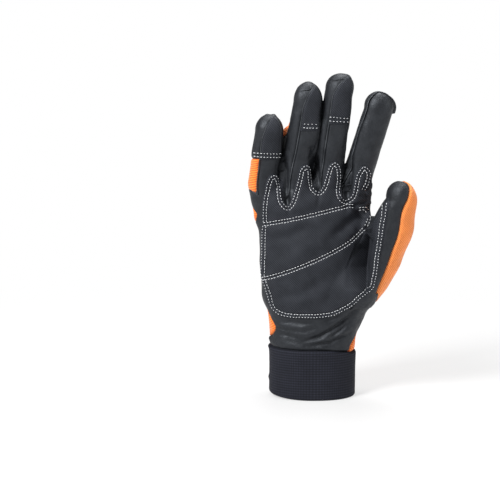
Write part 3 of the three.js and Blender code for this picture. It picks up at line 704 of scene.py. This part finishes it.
# The skin goes under the band's edge and under the fingers' own panels, higher up at the left.
def handPanel(level, angle):
    tucked = handPlan["tuck"] * (1 - smoothStep(*handPlan["tuckOver"], level - bandEdge(angle)))
    higher = handPlan["leftHigher"] * smoothStep(*np.radians(handPlan["leftFrom"]), -angle)
    low, high = handPlan["sinkOver"]
    sunk = tucked + handPlan["sink"] * smoothStep(low + higher, high + higher, level)
    midX, _, halfWide, _ = sliceAt(hand, level)
    low, high = handPlan["thumbOver"]
    highX = np.where((level > low) & (level < high), midX + handPlan["thumbSide"] * halfWide, trace["side"])
    return skinPanel(handRays(level, angle), -trace["side"], highX, "lr", sunk)


level = np.linspace(handPlan["foot"], handPlan["top"], handPlan["rows"])[:, None]
leftTurn = np.radians(smoothRows(handEdges["left"], level[:, 0]))
rightTurn = np.radians(smoothRows(handEdges["right"], level[:, 0]))
palmPanels = [handPanel(*gridAngles(level, leftTurn, rightTurn, handPlan["columns"]))]
backPanels = [handPanel(*gridAngles(level, rightTurn, leftTurn + 2 * math.pi, handPlan["columns"]))]
print("hand panels traced")

# Fingers: front panel, side strips, back, and the leather cap over the back of each tip
# Edges of the front panel: left and right in degrees; where its rounded end closes from left (0) to right
# (1), where that begins and ends below the tip as shares of the width; length of the cap behind
fingerEdges = {
    "pinky": (-24, 55, 0.78, 0.85, 0.17, 33.6), "ring": (-16, 57, 1.0, 0.74, 0.18, 28.5),
    "middle": (-25, 60, 0.94, 0.80, 0.24, 35.0), "index": (-58, 101, 0.22, 0.72, 0.03, 35.0)}
fingerParts = {  # between which of its four seams each part of a finger lies, and its columns of points
    "front": (0, 1, 42), "right": (1, 2, 22), "back": (2, 3, 36), "cap": (2, 3, 46), "left": (3, 0, 22)}
fingerPlan = {
    # foot, height of a row, and degrees from the front to the back
    "from": 152.0, "step": 0.85, "behind": 136.0,
    # where side strips close, and seams end
    "sideBegin": 0.9, "sideEnd": 0.30, "flush": 0.75, "flushOver": 6,
    "sink": 1.2, "sinkOver": 4, "pinkyHigher": 8,  # how the panels come out of the hand
    # orange beside the ring
    "ringForward": 48, "ringFrom": (200, 206), "ringTo": (216, 220), "ringLeft": 1.4}
fingerNames = list(fingers)


# How wide a panel still is near its rounded end: 1 below, then the height of a quarter circle down to 0.
def roundedEnd(level, begin, end):
    t = np.clip((level - begin) / (end - begin), 0, 1)
    return np.sqrt(1 - t * t)


# The four seams of a finger at each level, as angles: front left, front right, back right, back left.
def fingerSeams(name, level):
    reach, width = fingerTable[name][:2]
    left, right, closing, begin, end, _ = fingerEdges[name]
    left, right = math.radians(left), math.radians(right)
    tip = fingerForm["root"] + reach
    close = left + (right - left) * closing
    wide = roundedEnd(level, tip - begin * width, tip - end * width)
    frontLeft, frontRight = close + (left - close) * wide, close + (right - close) * wide
    strip = roundedEnd(level, tip - fingerPlan["sideBegin"] * width, tip - fingerPlan["sideEnd"] * width)
    behind = math.radians(fingerPlan["behind"])
    behindLeft = -behind
    if name == "ring":  # the orange comes forward here, below the cap
        forward = smoothStep(*fingerPlan["ringFrom"], level) * (1 - smoothStep(*fingerPlan["ringTo"], level))
        behindLeft = -behind + math.radians(fingerPlan["ringForward"]) * forward
    backRight = frontRight + (behind - frontRight) * (strip if name != "index" else 0)
    backLeft = frontLeft + (behindLeft - frontLeft) * (strip if name != "pinky" else 0)
    return frontLeft, frontRight, backRight, backLeft


# The planes halfway between a finger and its neighbours, which its panels don't cross.
def fingerLimits(name, level):
    at = fingerNames.index(name)
    midX, _, halfWide, _ = sliceAt(fingers[name], level)
    limits = [np.full(level.shape, -trace["side"]), np.full(level.shape, trace["side"])]
    for side, turn in enumerate((-1, 1)):
        if 0 <= at + turn < len(fingerNames):
            beside = fingers[fingerNames[at + turn]]
            nextX, _, nextWide, _ = sliceAt(beside, level)
            halfway = (midX + turn * halfWide + nextX - turn * nextWide) / 2
            halfway = halfway - (fingerPlan["ringLeft"] if name == "ring" and turn < 0 else 0)
            limits[side] = np.where(level < beside["tip"], halfway, turn * trace["side"])
    return limits


def fingerPanel(name, part, edges, high, low=fingerPlan["from"], flush=None):
    first, last, columns = fingerParts[part]
    behind = part in ("back", "cap")
    level = np.linspace(low, high, int((high - low) / fingerPlan["step"]) + 2)[:, None]
    seams = fingerSeams(name, level)
    level, angle = gridAngles(level, seams[first], seams[last] + (2 * math.pi if behind else 0), columns)
    foot = fingerPlan["from"] + (fingerPlan["pinkyHigher"] if name == "pinky" and behind else 0)
    sunk = fingerPlan["sink"] * (1 - smoothStep(foot, foot + fingerPlan["sinkOver"], level))
    strength = 1.0 if flush is None else 1 - smoothStep(flush - fingerPlan["flushOver"], flush, level)
    return skinPanel(digitRays(fingers[name], level, angle), *fingerLimits(name, level), edges, sunk,
                     strength)


sidePanels = {}
capPanels = {}
for name in fingerNames:
    reach, width = fingerTable[name][:2]
    tip = fingerForm["root"] + reach
    capFrom = tip - fingerEdges[name][5]
    flush = tip - fingerPlan["flush"] * width  # above this the side strips and the cap lie flush
    palmPanels.append(fingerPanel(name, "front", "lr", tip - fingerEdges[name][4] * width))
    backPanels.append(fingerPanel(name, "back", "lrt", capFrom))
    capPanels[name] = fingerPanel(name, "cap", "lrb", tip, capFrom, flush)
    for side, outermost in (("right", "index"), ("left", "pinky")):
        if name != outermost:
            sideTop = tip - fingerPlan["sideEnd"] * width
            sidePanels[name, side] = fingerPanel(name, side, "lr", sideTop, flush=flush)
addPiece("palm_leather_skin", palmPanels, leatherSkin, walls["leather"], ["palm_leather"])
addPiece("back_fabric_skin", backPanels, orangeBackShaded, walls["fabric"], ["back_fabric"])
for first, second in zip(fingerNames, fingerNames[1:]):
    title = f"fourchette_{first}_{second}"
    panels = [sidePanels[first, "right"], sidePanels[second, "left"]]
    addPiece(title + "_skin", panels, leatherSkin, walls["side"], [title])
for name, panel in capPanels.items():
    title = f"tip_cap_{name}"
    addPiece(title + "_skin", [panel], leatherSkin, walls["side"], [title])
print("fingers made")

# Welts: the seam allowance shows as a fine ridge up each finger's left seam and over its tip, its leather
# painted lighter as the highlight along the ridge
welt = {"from": 160.0, "radius": 0.34, "height": -0.12, "below": 0.05, "down": 0.5, "crowding": 1.6,
        "rising": 150, "falling": 30}


# A ridge along a line on a digit's sleeve: rings of eight
# points, high along the skin's normal and thin across it.
def ridgePanel(limb, level, angle, thick, tall, height):
    points = walkOut(*digitRays(limb, level, angle))
    normal = outward(points)
    points = settle(points, normal, height)
    along = np.gradient(points, axis=0)
    along /= np.maximum(np.linalg.norm(along, axis=-1, keepdims=True), 1e-6)
    side = np.cross(normal, along)
    turn = np.linspace(0, 2 * math.pi, 9)[None, :, None]
    tall = np.reshape(tall, (-1, 1, 1))
    spread = np.cos(turn) * side[:, None] * thick + np.sin(turn) * normal[:, None] * tall
    return closedTube(points[:, None] + spread, spread, points[:1, None], points[-1:, None])


for name in fingerNames:
    reach, width = fingerTable[name][:2]
    top = fingerForm["root"] + reach - fingerEdges[name][4] * width - welt["below"]
    rising = top - (top - welt["from"]) * (1 - np.linspace(0, 1, welt["rising"])) ** welt["crowding"]
    falling = top - welt["down"] * width * np.linspace(0, 1, welt["falling"])[1:] ** welt["crowding"]
    # the index finger's other seam is the flange below
    level = rising if name == "index" else np.concatenate([rising, falling])
    seams = fingerSeams(name, level)
    angle = np.concatenate([seams[0][:len(rising)], seams[1][len(rising):]])
    ridge = ridgePanel(fingers[name], level, angle, welt["radius"], welt["radius"], welt["height"])
    addPiece(f"welt_{name}", [ridge], weltHighlightSkin)
flange = {"tall": 2.2, "least": 0.3, "thick": 0.45, "top": 0.05, "down": 0.68, "grows": (0.35, 0.95)}
share = np.linspace(0, 1, 60)  # the sewn edge left outside at the index's right
reach, width = fingerTable["index"][:2]
level = fingerForm["root"] + reach - width * (flange["top"] + flange["down"] * share**1.4)
tall = smoothStep(*flange["grows"], share) * (1 - smoothStep(flange["grows"][1], 1, share))
ridge = ridgePanel(fingers["index"], level, fingerSeams("index", level)[1], flange["thick"],
                   flange["least"] + flange["tall"] * tall, 0.0)
addPiece("flange_index", [ridge], leatherSkin)
print("welts made")

# Thumb: leather in front and over the tip, orange on the outer side and behind
thumbPlan = {
    "from": 72.5, "top": 172.5, "rows": 112, "frontColumns": 62, "backColumns": 74,
    "edge": np.array([  # level, and degrees from the front where leather meets orange
        (72.5, 92), (76, 72), (80, 54), (86, 38), (98, 26), (110.6, 19), (125, 13.8), (139, 9.4), (151, 9.4),
        (158, 14), (163, 27), (168, 52), (172.5, 95)]),
    "inner": np.array([  # the same on the inner side
        (80, -100), (120, -112), (135, -140), (150, -138), (164, -152), (172.5, -180)]),
    "proud": 0.35, "proudOver": (82, 92),  # over the leather of the wrist
    "palmSide": 0.88, "palmTop": 147,  # it begins at this share of the hand's half width, as high as this
    # in front, at the hollow
    "besides": 0.4, "shutUp": (84, 92), "shutDown": (127, 134), "behind": (140, 152)}


# A panel of the thumb's sleeve, which begins at the hand's
# side: in front beside the hollow, behind further in.
def thumbPanel(first, last, columns, edges):
    level, angle = gridAngles(thumbLevel, first, last, columns)
    midX, _, halfWide, _ = sliceAt(hand, level)
    away = np.abs((angle + math.pi) % (2 * math.pi) - math.pi)  # from the front, either way round
    shut = (1 - smoothStep(*np.radians(thumbPlan["behind"]), away)) * smoothStep(*thumbPlan["shutUp"], level)
    shut = shut * (1 - smoothStep(*thumbPlan["shutDown"], level))
    lowX = midX + thumbPlan["palmSide"] * halfWide
    steep = np.interp(level, hollowRows[:, 0], hollowRows[:, 2]) + thumbPlan["besides"]
    lowX = np.where(level < thumbPlan["palmTop"], lowX + np.maximum(steep - lowX, 0) * shut, -trace["side"])
    proud = thumbPlan["proud"] * (1 - smoothStep(*thumbPlan["proudOver"], level))
    return skinPanel(digitRays(thumb, level, angle), lowX, trace["side"], edges, -proud)


thumbLevel = np.linspace(thumbPlan["from"], thumbPlan["top"], thumbPlan["rows"])[:, None]
thumbEdge = np.radians(smoothRows(thumbPlan["edge"], thumbLevel[:, 0]))
thumbInner = np.radians(np.interp(thumbLevel, *thumbPlan["inner"].T))
frontThumb = thumbPanel(thumbInner, thumbEdge, thumbPlan["frontColumns"], "lr")
backThumb = thumbPanel(thumbEdge, thumbInner + 2 * math.pi, thumbPlan["backColumns"], "lrb")
addPiece("thumb_leather_skin", [frontThumb], leatherSkin, walls["leather"],
         ["thumb_leather"])
addPiece("thumb_fabric_skin", [backThumb], orangeThumbLit, walls["fabric"], ["thumb_fabric"])
print("thumb made")

# Band: woven elastic, a closed profile carried round the wrist, with a rolled hem at both ends
band = {"columns": 180, "wide": 33.5, "deep": 23, "round": 180,  # half sizes of the wrist, and the way round
        "lumps": 0.35, "lumpSize": 14.0, "lumpRound": (33, 23), "footRise": 2.2, "outside": (-1.5, 0),
        # bumps' heights; profile rows inside
        "bumps": (13.8, 38.4), "bump": 0.7, "bumpTall": 1.3, "inner": 4}
bandProfile = np.array([  # share of the height, and how far out from the wrist's own section
    (1.02, -2.6), (0.9, -2.4), (0.5, -2.2), (0.04, -2.2), (0.012, -1.6), (0.0, -0.8), (0.008, -0.1),
    (0.025, 0.35),
    (0.05, 0.5), (0.08, 0.45), (0.14, 0.4), (0.22, 0.38), (0.3, 0.35), (0.38, 0.32), (0.46, 0.3), (0.54, 0.3),
    (0.62, 0.3), (0.7, 0.35), (0.78, 0.4), (0.86, 0.5), (0.92, 0.65), (0.965, 0.7), (0.99, 0.4), (1.0, -0.3),
    (1.01, -1.4), (1.02, -2.6)])


# Each point of the profile goes out from the wrist's
# rounded section; its height is a share of the band's edge.
def bandRings(profile):
    angle = np.linspace(0, 2 * math.pi, band["columns"] + 1)[None, :]
    share, out = profile[:, :1], profile[:, 1:]
    level = share * bandEdge(angle) + (1 - share) * band["footRise"] * np.maximum(-np.sin(angle), 0) ** 2
    flat = np.zeros_like(level)
    lumpWide, lumpDeep = band["lumpRound"]
    places = np.stack([lumpWide * np.sin(angle) + flat, lumpDeep * np.cos(angle) + flat, level], -1)
    outside = smoothStep(*band["outside"], out)
    wobble = band["lumps"] * softNoise(places, band["lumpSize"]) * outside
    for height in band["bumps"]:  # threads of the side seam, gathered at the left
        near = np.exp(-(((level - height) / band["bumpTall"]) ** 2)) * np.maximum(-np.sin(angle), 0) ** 24
        wobble = wobble + band["bump"] * near * outside
    reachX = (band["wide"] + out + wobble) * powered(np.sin(angle), 2 / form["roundness"])
    reachY = -(band["deep"] + out + wobble) * powered(np.cos(angle), 2 / form["roundness"])
    normal = np.stack([np.sin(angle) + flat, -np.cos(angle) + flat, flat], -1)
    normal = normal * np.where((np.arange(len(profile)) < band["inner"])[:, None, None], -1, 1)
    uv = np.stack([angle / (2 * math.pi) * band["round"] + flat, level], -1)
    return np.stack([reachX, reachY, level], -1), normal, uv


addPiece("cuff_band", [bandRings(bandProfile)], bandSkin, 0.0, ["cuff"])
print("band made")

# Patches over the palm. Lines are (x, z) places seen from the front: the outer row of stitches of each edge.
patchPlan = {"lift": 0.15, "thick": 1.0, "tipThick": 0.8, "roll": 0.8, "dent": 0.42, "dentWidth": 0.75,
             "margin": 1.5, "webMargin": 1.05, "rowGap": 2.3, "seamGap": 1.15, "pitch": 0.9}
rowPlaces = {
    "crown": [(-38.9, 138.0), (-38.5, 149.2), (-37.5, 158.9), (-36.1, 167.2), (-34.0, 172.6), (-30.6, 174.6),
              (-27.8, 171.5), (-26.2, 163.3), (-24.6, 155.0), (-20.6, 150.6), (-17.0, 154.4), (-14.3, 162.4),
              (-11.9, 172.1), (-10.3, 179.4), (-6.7, 182.3), (-3.6, 179.4), (-2.8, 171.1), (-1.6, 165.0),
              (1.4, 162.4), (4.6, 162.6), (7.2, 166.6), (9.5, 175.0), (12.0, 181.8), (15.4, 184.4),
              (18.6, 180.8), (19.3, 171.1), (19.0, 161.0), (21.5, 156.5), (25.0, 155.6), (29.3, 159.6),
              (31.0, 167.7), (32.8, 175.4), (37.3, 181.3), (41.6, 177.2), (41.0, 169.8), (37.9, 162.4)],
    "upperSeam": [(-38.9, 136.6), (-10.0, 142.8), (22.7, 150.6), (28.0, 151.4), (35.0, 149.4), (42.4, 150.6)],
    "lowerSeam": [(-39.2, 93.4), (0.0, 109.6), (20.0, 119.6), (32.9, 128.0), (39.0, 133.6)],
    "left": [(-38.9, 136.0), (-39.2, 115.0), (-39.2, 96.0)],
    "heel": [(-38.9, 94.0), (-35.9, 86.0), (-34.3, 80.2), (-32.4, 73.5), (-28.4, 69.0), (-21.0, 66.6),
             (-7.0, 66.2), (12.6, 67.6), (25.9, 74.2), (35.5, 83.4), (43.8, 91.4), (45.5, 99.5),
             (46.6, 107.9), (47.6, 116.7), (49.4, 128.5), (51.2, 141.9), (53.2, 157.0)],
    "stripTop": [(53.2, 158.2), (51.4, 159.2), (49.6, 157.0), (48.4, 153.4)],
    "web": [(34.0, 149.6), (37.6, 150.2), (40.2, 149.2), (42.2, 146.4), (42.6, 141.5), (41.2, 135.0)],
}


# The points at the places where of a line whose own places are run.
def placesAt(where, run, line):
    return np.stack([np.interp(where, run, line[:, i]) for i in (0, 1)], -1)


# A smooth line through places, with points every pitch along it: cubic pieces over the chord lengths.
def lineThrough(places, pitch=patchPlan["pitch"]):
    places = np.asarray(places, float)
    chord = runOf(places)
    fine = smoothRows(np.column_stack([chord, places]), np.linspace(0, chord[-1], 12 * len(places)))
    run = runOf(fine)
    return placesAt(np.linspace(0, run[-1], max(int(run[-1] / pitch), 2) + 1), run, fine)


# The same line moved to its left by distance, along the normals of its points.
def besideLine(line, distance):
    along = np.gradient(line, axis=0)
    along /= np.linalg.norm(along, axis=1, keepdims=True)
    return line + distance * np.stack([-along[:, 1], along[:, 0]], 1)


# How far along its way in x a line is at each point, as a share. Its x never falls, and rises a little.
def shareOf(line):
    x = np.maximum.accumulate(line[:, 0]) + np.linspace(0, 0.5, len(line))
    return (x - x[0]) / (x[-1] - x[0])


# Points of a line at the given shares of its way in x.
def lineByShare(line, shares):
    return placesAt(shares, shareOf(line), line)


# Height of a patch over the leather: full inside, rolled down at its border, pressed in along its rows.
def patchHeight(points, borders, rows):
    away = np.min([lineDistance(points, border)[0] for border in borders], axis=0)
    height = patchPlan["lift"] + patchPlan["thick"] * (1 - np.exp(-((away / patchPlan["roll"]) ** 2)))
    for row in rows:
        near = lineDistance(points, row)[0]
        height -= patchPlan["dent"] * np.exp(-((near / patchPlan["dentWidth"]) ** 2))
    return height


# A ruled patch: straight threads from each point of the lower line to its partner
# on the upper one, laid on the front of the form, crowded towards both lines.
def patchPanel(lower, upper, rows, borders, stitchRows):
    share = 0.5 - 0.5 * np.cos(np.linspace(0, math.pi, rows))[:, None, None]
    flat = lower[None] * (1 - share) + upper[None] * share
    points = frontAt(flat)
    normal = outward(points)
    points = settle(points, normal, patchHeight(points, borders, stitchRows))
    return sewEdges(points, normal, flat - flat.mean((0, 1)), "lrbt", 0.0)


lines = {name: lineThrough(places) for name, places in rowPlaces.items()}
# the inner row, on that side of the outer one
second = {name: besideLine(lines[name], side * patchPlan["rowGap"])
          for name, side in (("crown", -1), ("heel", 1), ("left", 1), ("web", -1))}
for name in ("upperSeam", "lowerSeam"):
    second[name + "Up"] = besideLine(lines[name], patchPlan["seamGap"])
    second[name + "Down"] = besideLine(lines[name], -patchPlan["seamGap"])
dents = {name: line[::4] for name, line in {**lines, **second}.items()}
crownEdge = besideLine(lines["crown"], patchPlan["margin"])
heelEdge = besideLine(lines["heel"], -patchPlan["margin"])
leftEdge = besideLine(lines["left"], -patchPlan["margin"])[::3]
webEdge = besideLine(lines["web"], patchPlan["webMargin"])[::3]
seamLow = np.vstack([leftEdge[-1:], lines["lowerSeam"]])
seamHigh = np.vstack([leftEdge[:1], lines["upperSeam"], webEdge[len(webEdge) // 2:len(webEdge) // 2 + 1]])

crownBase = lineByShare(np.vstack([crownEdge[:1] - (0, 1.0), lines["upperSeam"]]), shareOf(crownEdge))
crownPanel = patchPanel(crownBase, crownEdge, 46, [crownEdge[::3], crownBase[::6]],
                        [dents["crown"], dents["upperSeamUp"], second["crown"][::4]])
addPiece("crown_patch_cloth", [crownPanel], patchSkin, walls["patch"], ["crown_patch"])
share = np.linspace(0, 1, 130)
palmLow, palmHigh = lineByShare(seamLow, share), lineByShare(seamHigh, share)
sides = [np.stack([palmLow[i], palmHigh[i]]) for i in (0, -1)]
palmPanel = patchPanel(palmLow, palmHigh, 70, [palmLow[::4], palmHigh[::4], *sides],
                       [dents["upperSeamDown"], dents["lowerSeamUp"], dents["left"], second["left"][::4],
                        dents["web"], second["web"][::4]])
addPiece("palm_patch_cloth", [palmPanel], patchSkin, walls["patch"], ["palm_patch"])

strip = {"turn": 117, "right": 30, "from": 134.0, "to": 160.5, "share": 0.965, "least": 1.5}  # up the thumb
turn = int(np.argmin(np.abs(heelEdge[:, 1] - strip["turn"]) + 50 * (heelEdge[:, 0] < strip["right"])))
heelLow, stripRight = heelEdge[:turn + 1], heelEdge[turn:]
heelHigh = lineByShare(np.vstack([heelEdge[:1] + (0, 0.6), lines["lowerSeam"]]), shareOf(heelLow))
rise = np.linspace(0, 1, len(stripRight))
stripZ = strip["from"] + (strip["to"] - strip["from"]) * rise
thumbX, _, thumbWide, _ = sliceAt(thumb, stripZ)
stripX = np.where(rise < 0.02, lines["lowerSeam"][-1, 0], thumbX - strip["share"] * thumbWide)
stripLeft = np.stack([stripX, stripZ], 1)
stripRight = np.stack([np.maximum(stripRight[:, 0], stripX + strip["least"]), stripRight[:, 1]], 1)
heelRows = [dents["heel"], second["heel"][::4], dents["lowerSeamDown"]]
stripTop = np.stack([stripLeft[-1], stripRight[-1]])
heelPanels = [patchPanel(heelLow, heelHigh, 84, [heelLow[::3], heelHigh[::5]], heelRows),
              patchPanel(stripLeft, stripRight, 34, [stripLeft[::3], stripRight[::3], stripTop], heelRows)]
addPiece("heel_patch_cloth", heelPanels, patchSkin, walls["patch"], ["heel_patch"])
print("palm patches made")

# Patches on the fingertips: over the front panel from the hem to the rounded end
tipPatches = {"pinky": 186.6, "ring": 208.6, "middle": 213.6}  # height of the hem
tipPlan = {"rows": 56, "columns": 44, "below": 0.02, "margin": 0.05, "closes": 0.5, "stitches": (1.3, 3.7)}
for name, hem in tipPatches.items():
    reach, width = fingerTable[name][:2]
    top = fingerForm["root"] + reach - (fingerEdges[name][4] + tipPlan["below"]) * width
    level = np.linspace(hem, top, tipPlan["rows"])[:, None]
    left, right = fingerSeams(name, level)[:2]
    margin = tipPlan["margin"] * roundedEnd(level, top - tipPlan["closes"] * width, top)
    level, angle = gridAngles(level, left + margin, right - margin, tipPlan["columns"])
    points = walkOut(*digitRays(fingers[name], level, angle), *fingerLimits(name, level))
    normal = outward(points)
    across, along = gridSpans(points)
    away = np.minimum(np.minimum(across, across[:, -1:] - across), along)
    height = patchPlan["lift"] + patchPlan["tipThick"] * (1 - np.exp(-((away / patchPlan["roll"]) ** 2)))
    for rowAt in tipPlan["stitches"]:
        height -= patchPlan["dent"] * np.exp(-(((along - rowAt) / patchPlan["dentWidth"]) ** 2))
    points = settle(points, normal, height)
    panel = sewEdges(points, normal, np.stack([across, along], -1), "lrbt", 0.0)
    title = f"tip_patch_{name}"
    addPiece(title + "_cloth", [panel], patchSkin, walls["tipPatch"], [title])
print("fingertip patches made")

# Stitches: short threads along each row, ends dived into the cloth
stitch = {"pitch": 2.2, "length": 1.5, "radius": 0.205, "flat": 0.8, "height": 0.98, "tipHeight": 0.75,
          "wander": 0.08, "stray": 0.07,  # how far a stitch strays along its row, and off it
          # at its five rings
          "bow": (-0.30, 0.10, 0.2, 0.10, -0.30), "swell": (0.55, 0.95, 1.05, 0.95, 0.55),
          "steep": 2.5, "behind": -1}  # a stitch that spans more depth, or lies further back, is left out
stitchRandom = np.random.default_rng(5)


# Rows of threads: each is five rings of six points round a bowed line that lies on
# the front of the form. Those that would hang past the edge of the skin are left out.
def stitchPanels(rows, height):
    centres = []
    for row in rows:
        run = runOf(row)
        count = max(int(run[-1] / stitch["pitch"]), 1)
        middle = (np.arange(count) + 0.5) * run[-1] / count + stitchRandom.normal(0, stitch["wander"], count)
        centres.append(placesAt(middle[:, None] + stitch["length"] * np.linspace(-0.5, 0.5, 5)[None, :],
                                run, row))
    flat = np.concatenate(centres)
    flat += stitchRandom.normal(0, stitch["stray"], (len(flat), 1, 2))
    points = frontAt(flat)
    depth = points[..., 1]
    points = points[(np.ptp(depth, axis=1) < stitch["steep"]) & (depth.max(1) < stitch["behind"])]
    normal = outward(points)
    points = settle(points, normal, height + np.array(stitch["bow"]))
    along = np.gradient(points, axis=1)
    along /= np.linalg.norm(along, axis=-1, keepdims=True)
    side = np.cross(normal, along)
    size = stitch["radius"] * np.array(stitch["swell"])[None, :, None, None]
    turn = np.linspace(0, 2 * math.pi, 7)[None, None, :, None]
    sideways, upwards = np.cos(turn) * side[:, :, None], np.sin(turn) * normal[:, :, None]
    tube = points[:, :, None] + size * (sideways + stitch["flat"] * upwards)
    return [closedTube(rings, outwards, rings[:1].mean(1, keepdims=True), rings[-1:].mean(1, keepdims=True))
            for rings, outwards in zip(tube, sideways + upwards)]


shown = [line[line[:, 0] < 31] for line in (second["upperSeamUp"], second["upperSeamDown"])]
stitchRows = {
    "stitches_crown": [lines["crown"], second["crown"]],
    "stitches_palm": [*shown, second["lowerSeamUp"], second["lowerSeamDown"], lines["left"], second["left"],
                      lines["web"], second["web"]],
    "stitches_heel": [lines["heel"], second["heel"], lines["stripTop"]],
}
tipRows = {
    "stitches_pinky": [[(-46.2, 192.0), (-36.0, 191.6), (-25.4, 191.3)],
                       [(-46.2, 189.3), (-36.0, 188.8), (-25.4, 188.4)]],
    "stitches_ring": [[(-9.4, 214.2), (1.4, 213.6)], [(-9.6, 211.4), (1.4, 210.8)]],
    "stitches_middle": [[(10.2, 219.2), (24.9, 218.0)], [(10.2, 216.4), (24.9, 215.2)]],
}
for name, rows in stitchRows.items():
    addPiece(name, stitchPanels(rows, stitch["height"]), threadSkin)
for name, rows in tipRows.items():
    panels = stitchPanels([lineThrough(row, 0.8) for row in rows], stitch["tipHeight"])
    addPiece(name, panels, threadSkin)
print("stitches made")

# Floor, lights and background
# the floor's tone, the air's light, and half the floor's width
studio = {"floor": 0.72, "world": 0.12, "reach": 30,
          # where the floor's glow begins and is full, and its least share, which stays near the glove as
          # painted light that lifts the glove's shadow
          "near": 0.12, "far": 0.5, "base": 0.58,
          "aim": (0, 0, 0.13),
          "lights": [  # name, place, width, watts
              ("key", (-0.80, -0.70, 1.05), 0.42, 26), ("fill", (1.0, -0.45, 0.55), 0.5, 4.2),
              ("top", (0.1, 0.3, 1.3), 0.7, 14)]}
corners = [(x * studio["reach"], y * studio["reach"], 0) for x, y in ((-1, -1), (1, -1), (1, 1), (-1, 1))]
floorMesh = bpy.data.meshes.new("floor")
floorMesh.from_pydata(corners, [], [(0, 1, 2, 3)])
floor = bpy.data.objects.new("floor", floorMesh)
bpy.context.scene.collection.objects.link(floor)


# The floor glows white far from the glove, so that it has no edge; close to the glove it still glows at its
# least share, a painted light that lifts the glove's shadow, and takes the light for the rest.
def floorMaterial():
    material = newMaterial("floorPaint", (studio["floor"],) * 3, 0.7, 0.1)
    place = addNode("ShaderNodeTexCoord").outputs["Object"]
    away = addNode("ShaderNodeVectorMath", {0: place}, operation="LENGTH").outputs["Value"]
    glow = addNode("ShaderNodeMapRange",
                   {0: away, 1: studio["near"], 2: studio["far"], 3: studio["base"], 4: 1.0},
                   interpolation_type="SMOOTHSTEP").outputs[0]
    light = addNode("ShaderNodeEmission", {"Color": (1, 1, 1, 1), "Strength": 1.0})
    mix = addNode("ShaderNodeMixShader", {0: glow, 1: paint["shader"].outputs[0], 2: light.outputs[0]})
    paint["tree"].links.new(mix.outputs[0], paint["tree"].nodes["Material Output"].inputs["Surface"])
    return material


floorMesh.materials.append(floorMaterial())
for name, place, width, watts in studio["lights"]:
    lampData = bpy.data.lights.new(name, "AREA")
    lampData.energy = watts
    lampData.size = width
    lamp = bpy.data.objects.new(name, lampData)
    lamp.location = place
    aim = np.array(studio["aim"]) - np.array(place)
    tilt = math.atan2(math.hypot(aim[0], aim[1]), -aim[2])
    lamp.rotation_euler = (tilt, 0, math.atan2(aim[1], aim[0]) - math.pi / 2)
    bpy.context.scene.collection.objects.link(lamp)
world = bpy.data.worlds.new("studio")  # plain white to the camera, and dimmer as light
world.use_nodes = True
paint["tree"] = world.node_tree
background = world.node_tree.nodes["Background"]
background.inputs["Color"].default_value = (1, 1, 1, 1)
seen = addNode("ShaderNodeLightPath").outputs["Is Camera Ray"]
world.node_tree.links.new(spreadOf(seen, studio["world"], 1.0, 0, 1), background.inputs["Strength"])
bpy.context.scene.world = world
bpy.context.scene.view_settings.view_transform = "Standard"

# Brings the scene's placements up to date
bpy.context.view_layer.update()
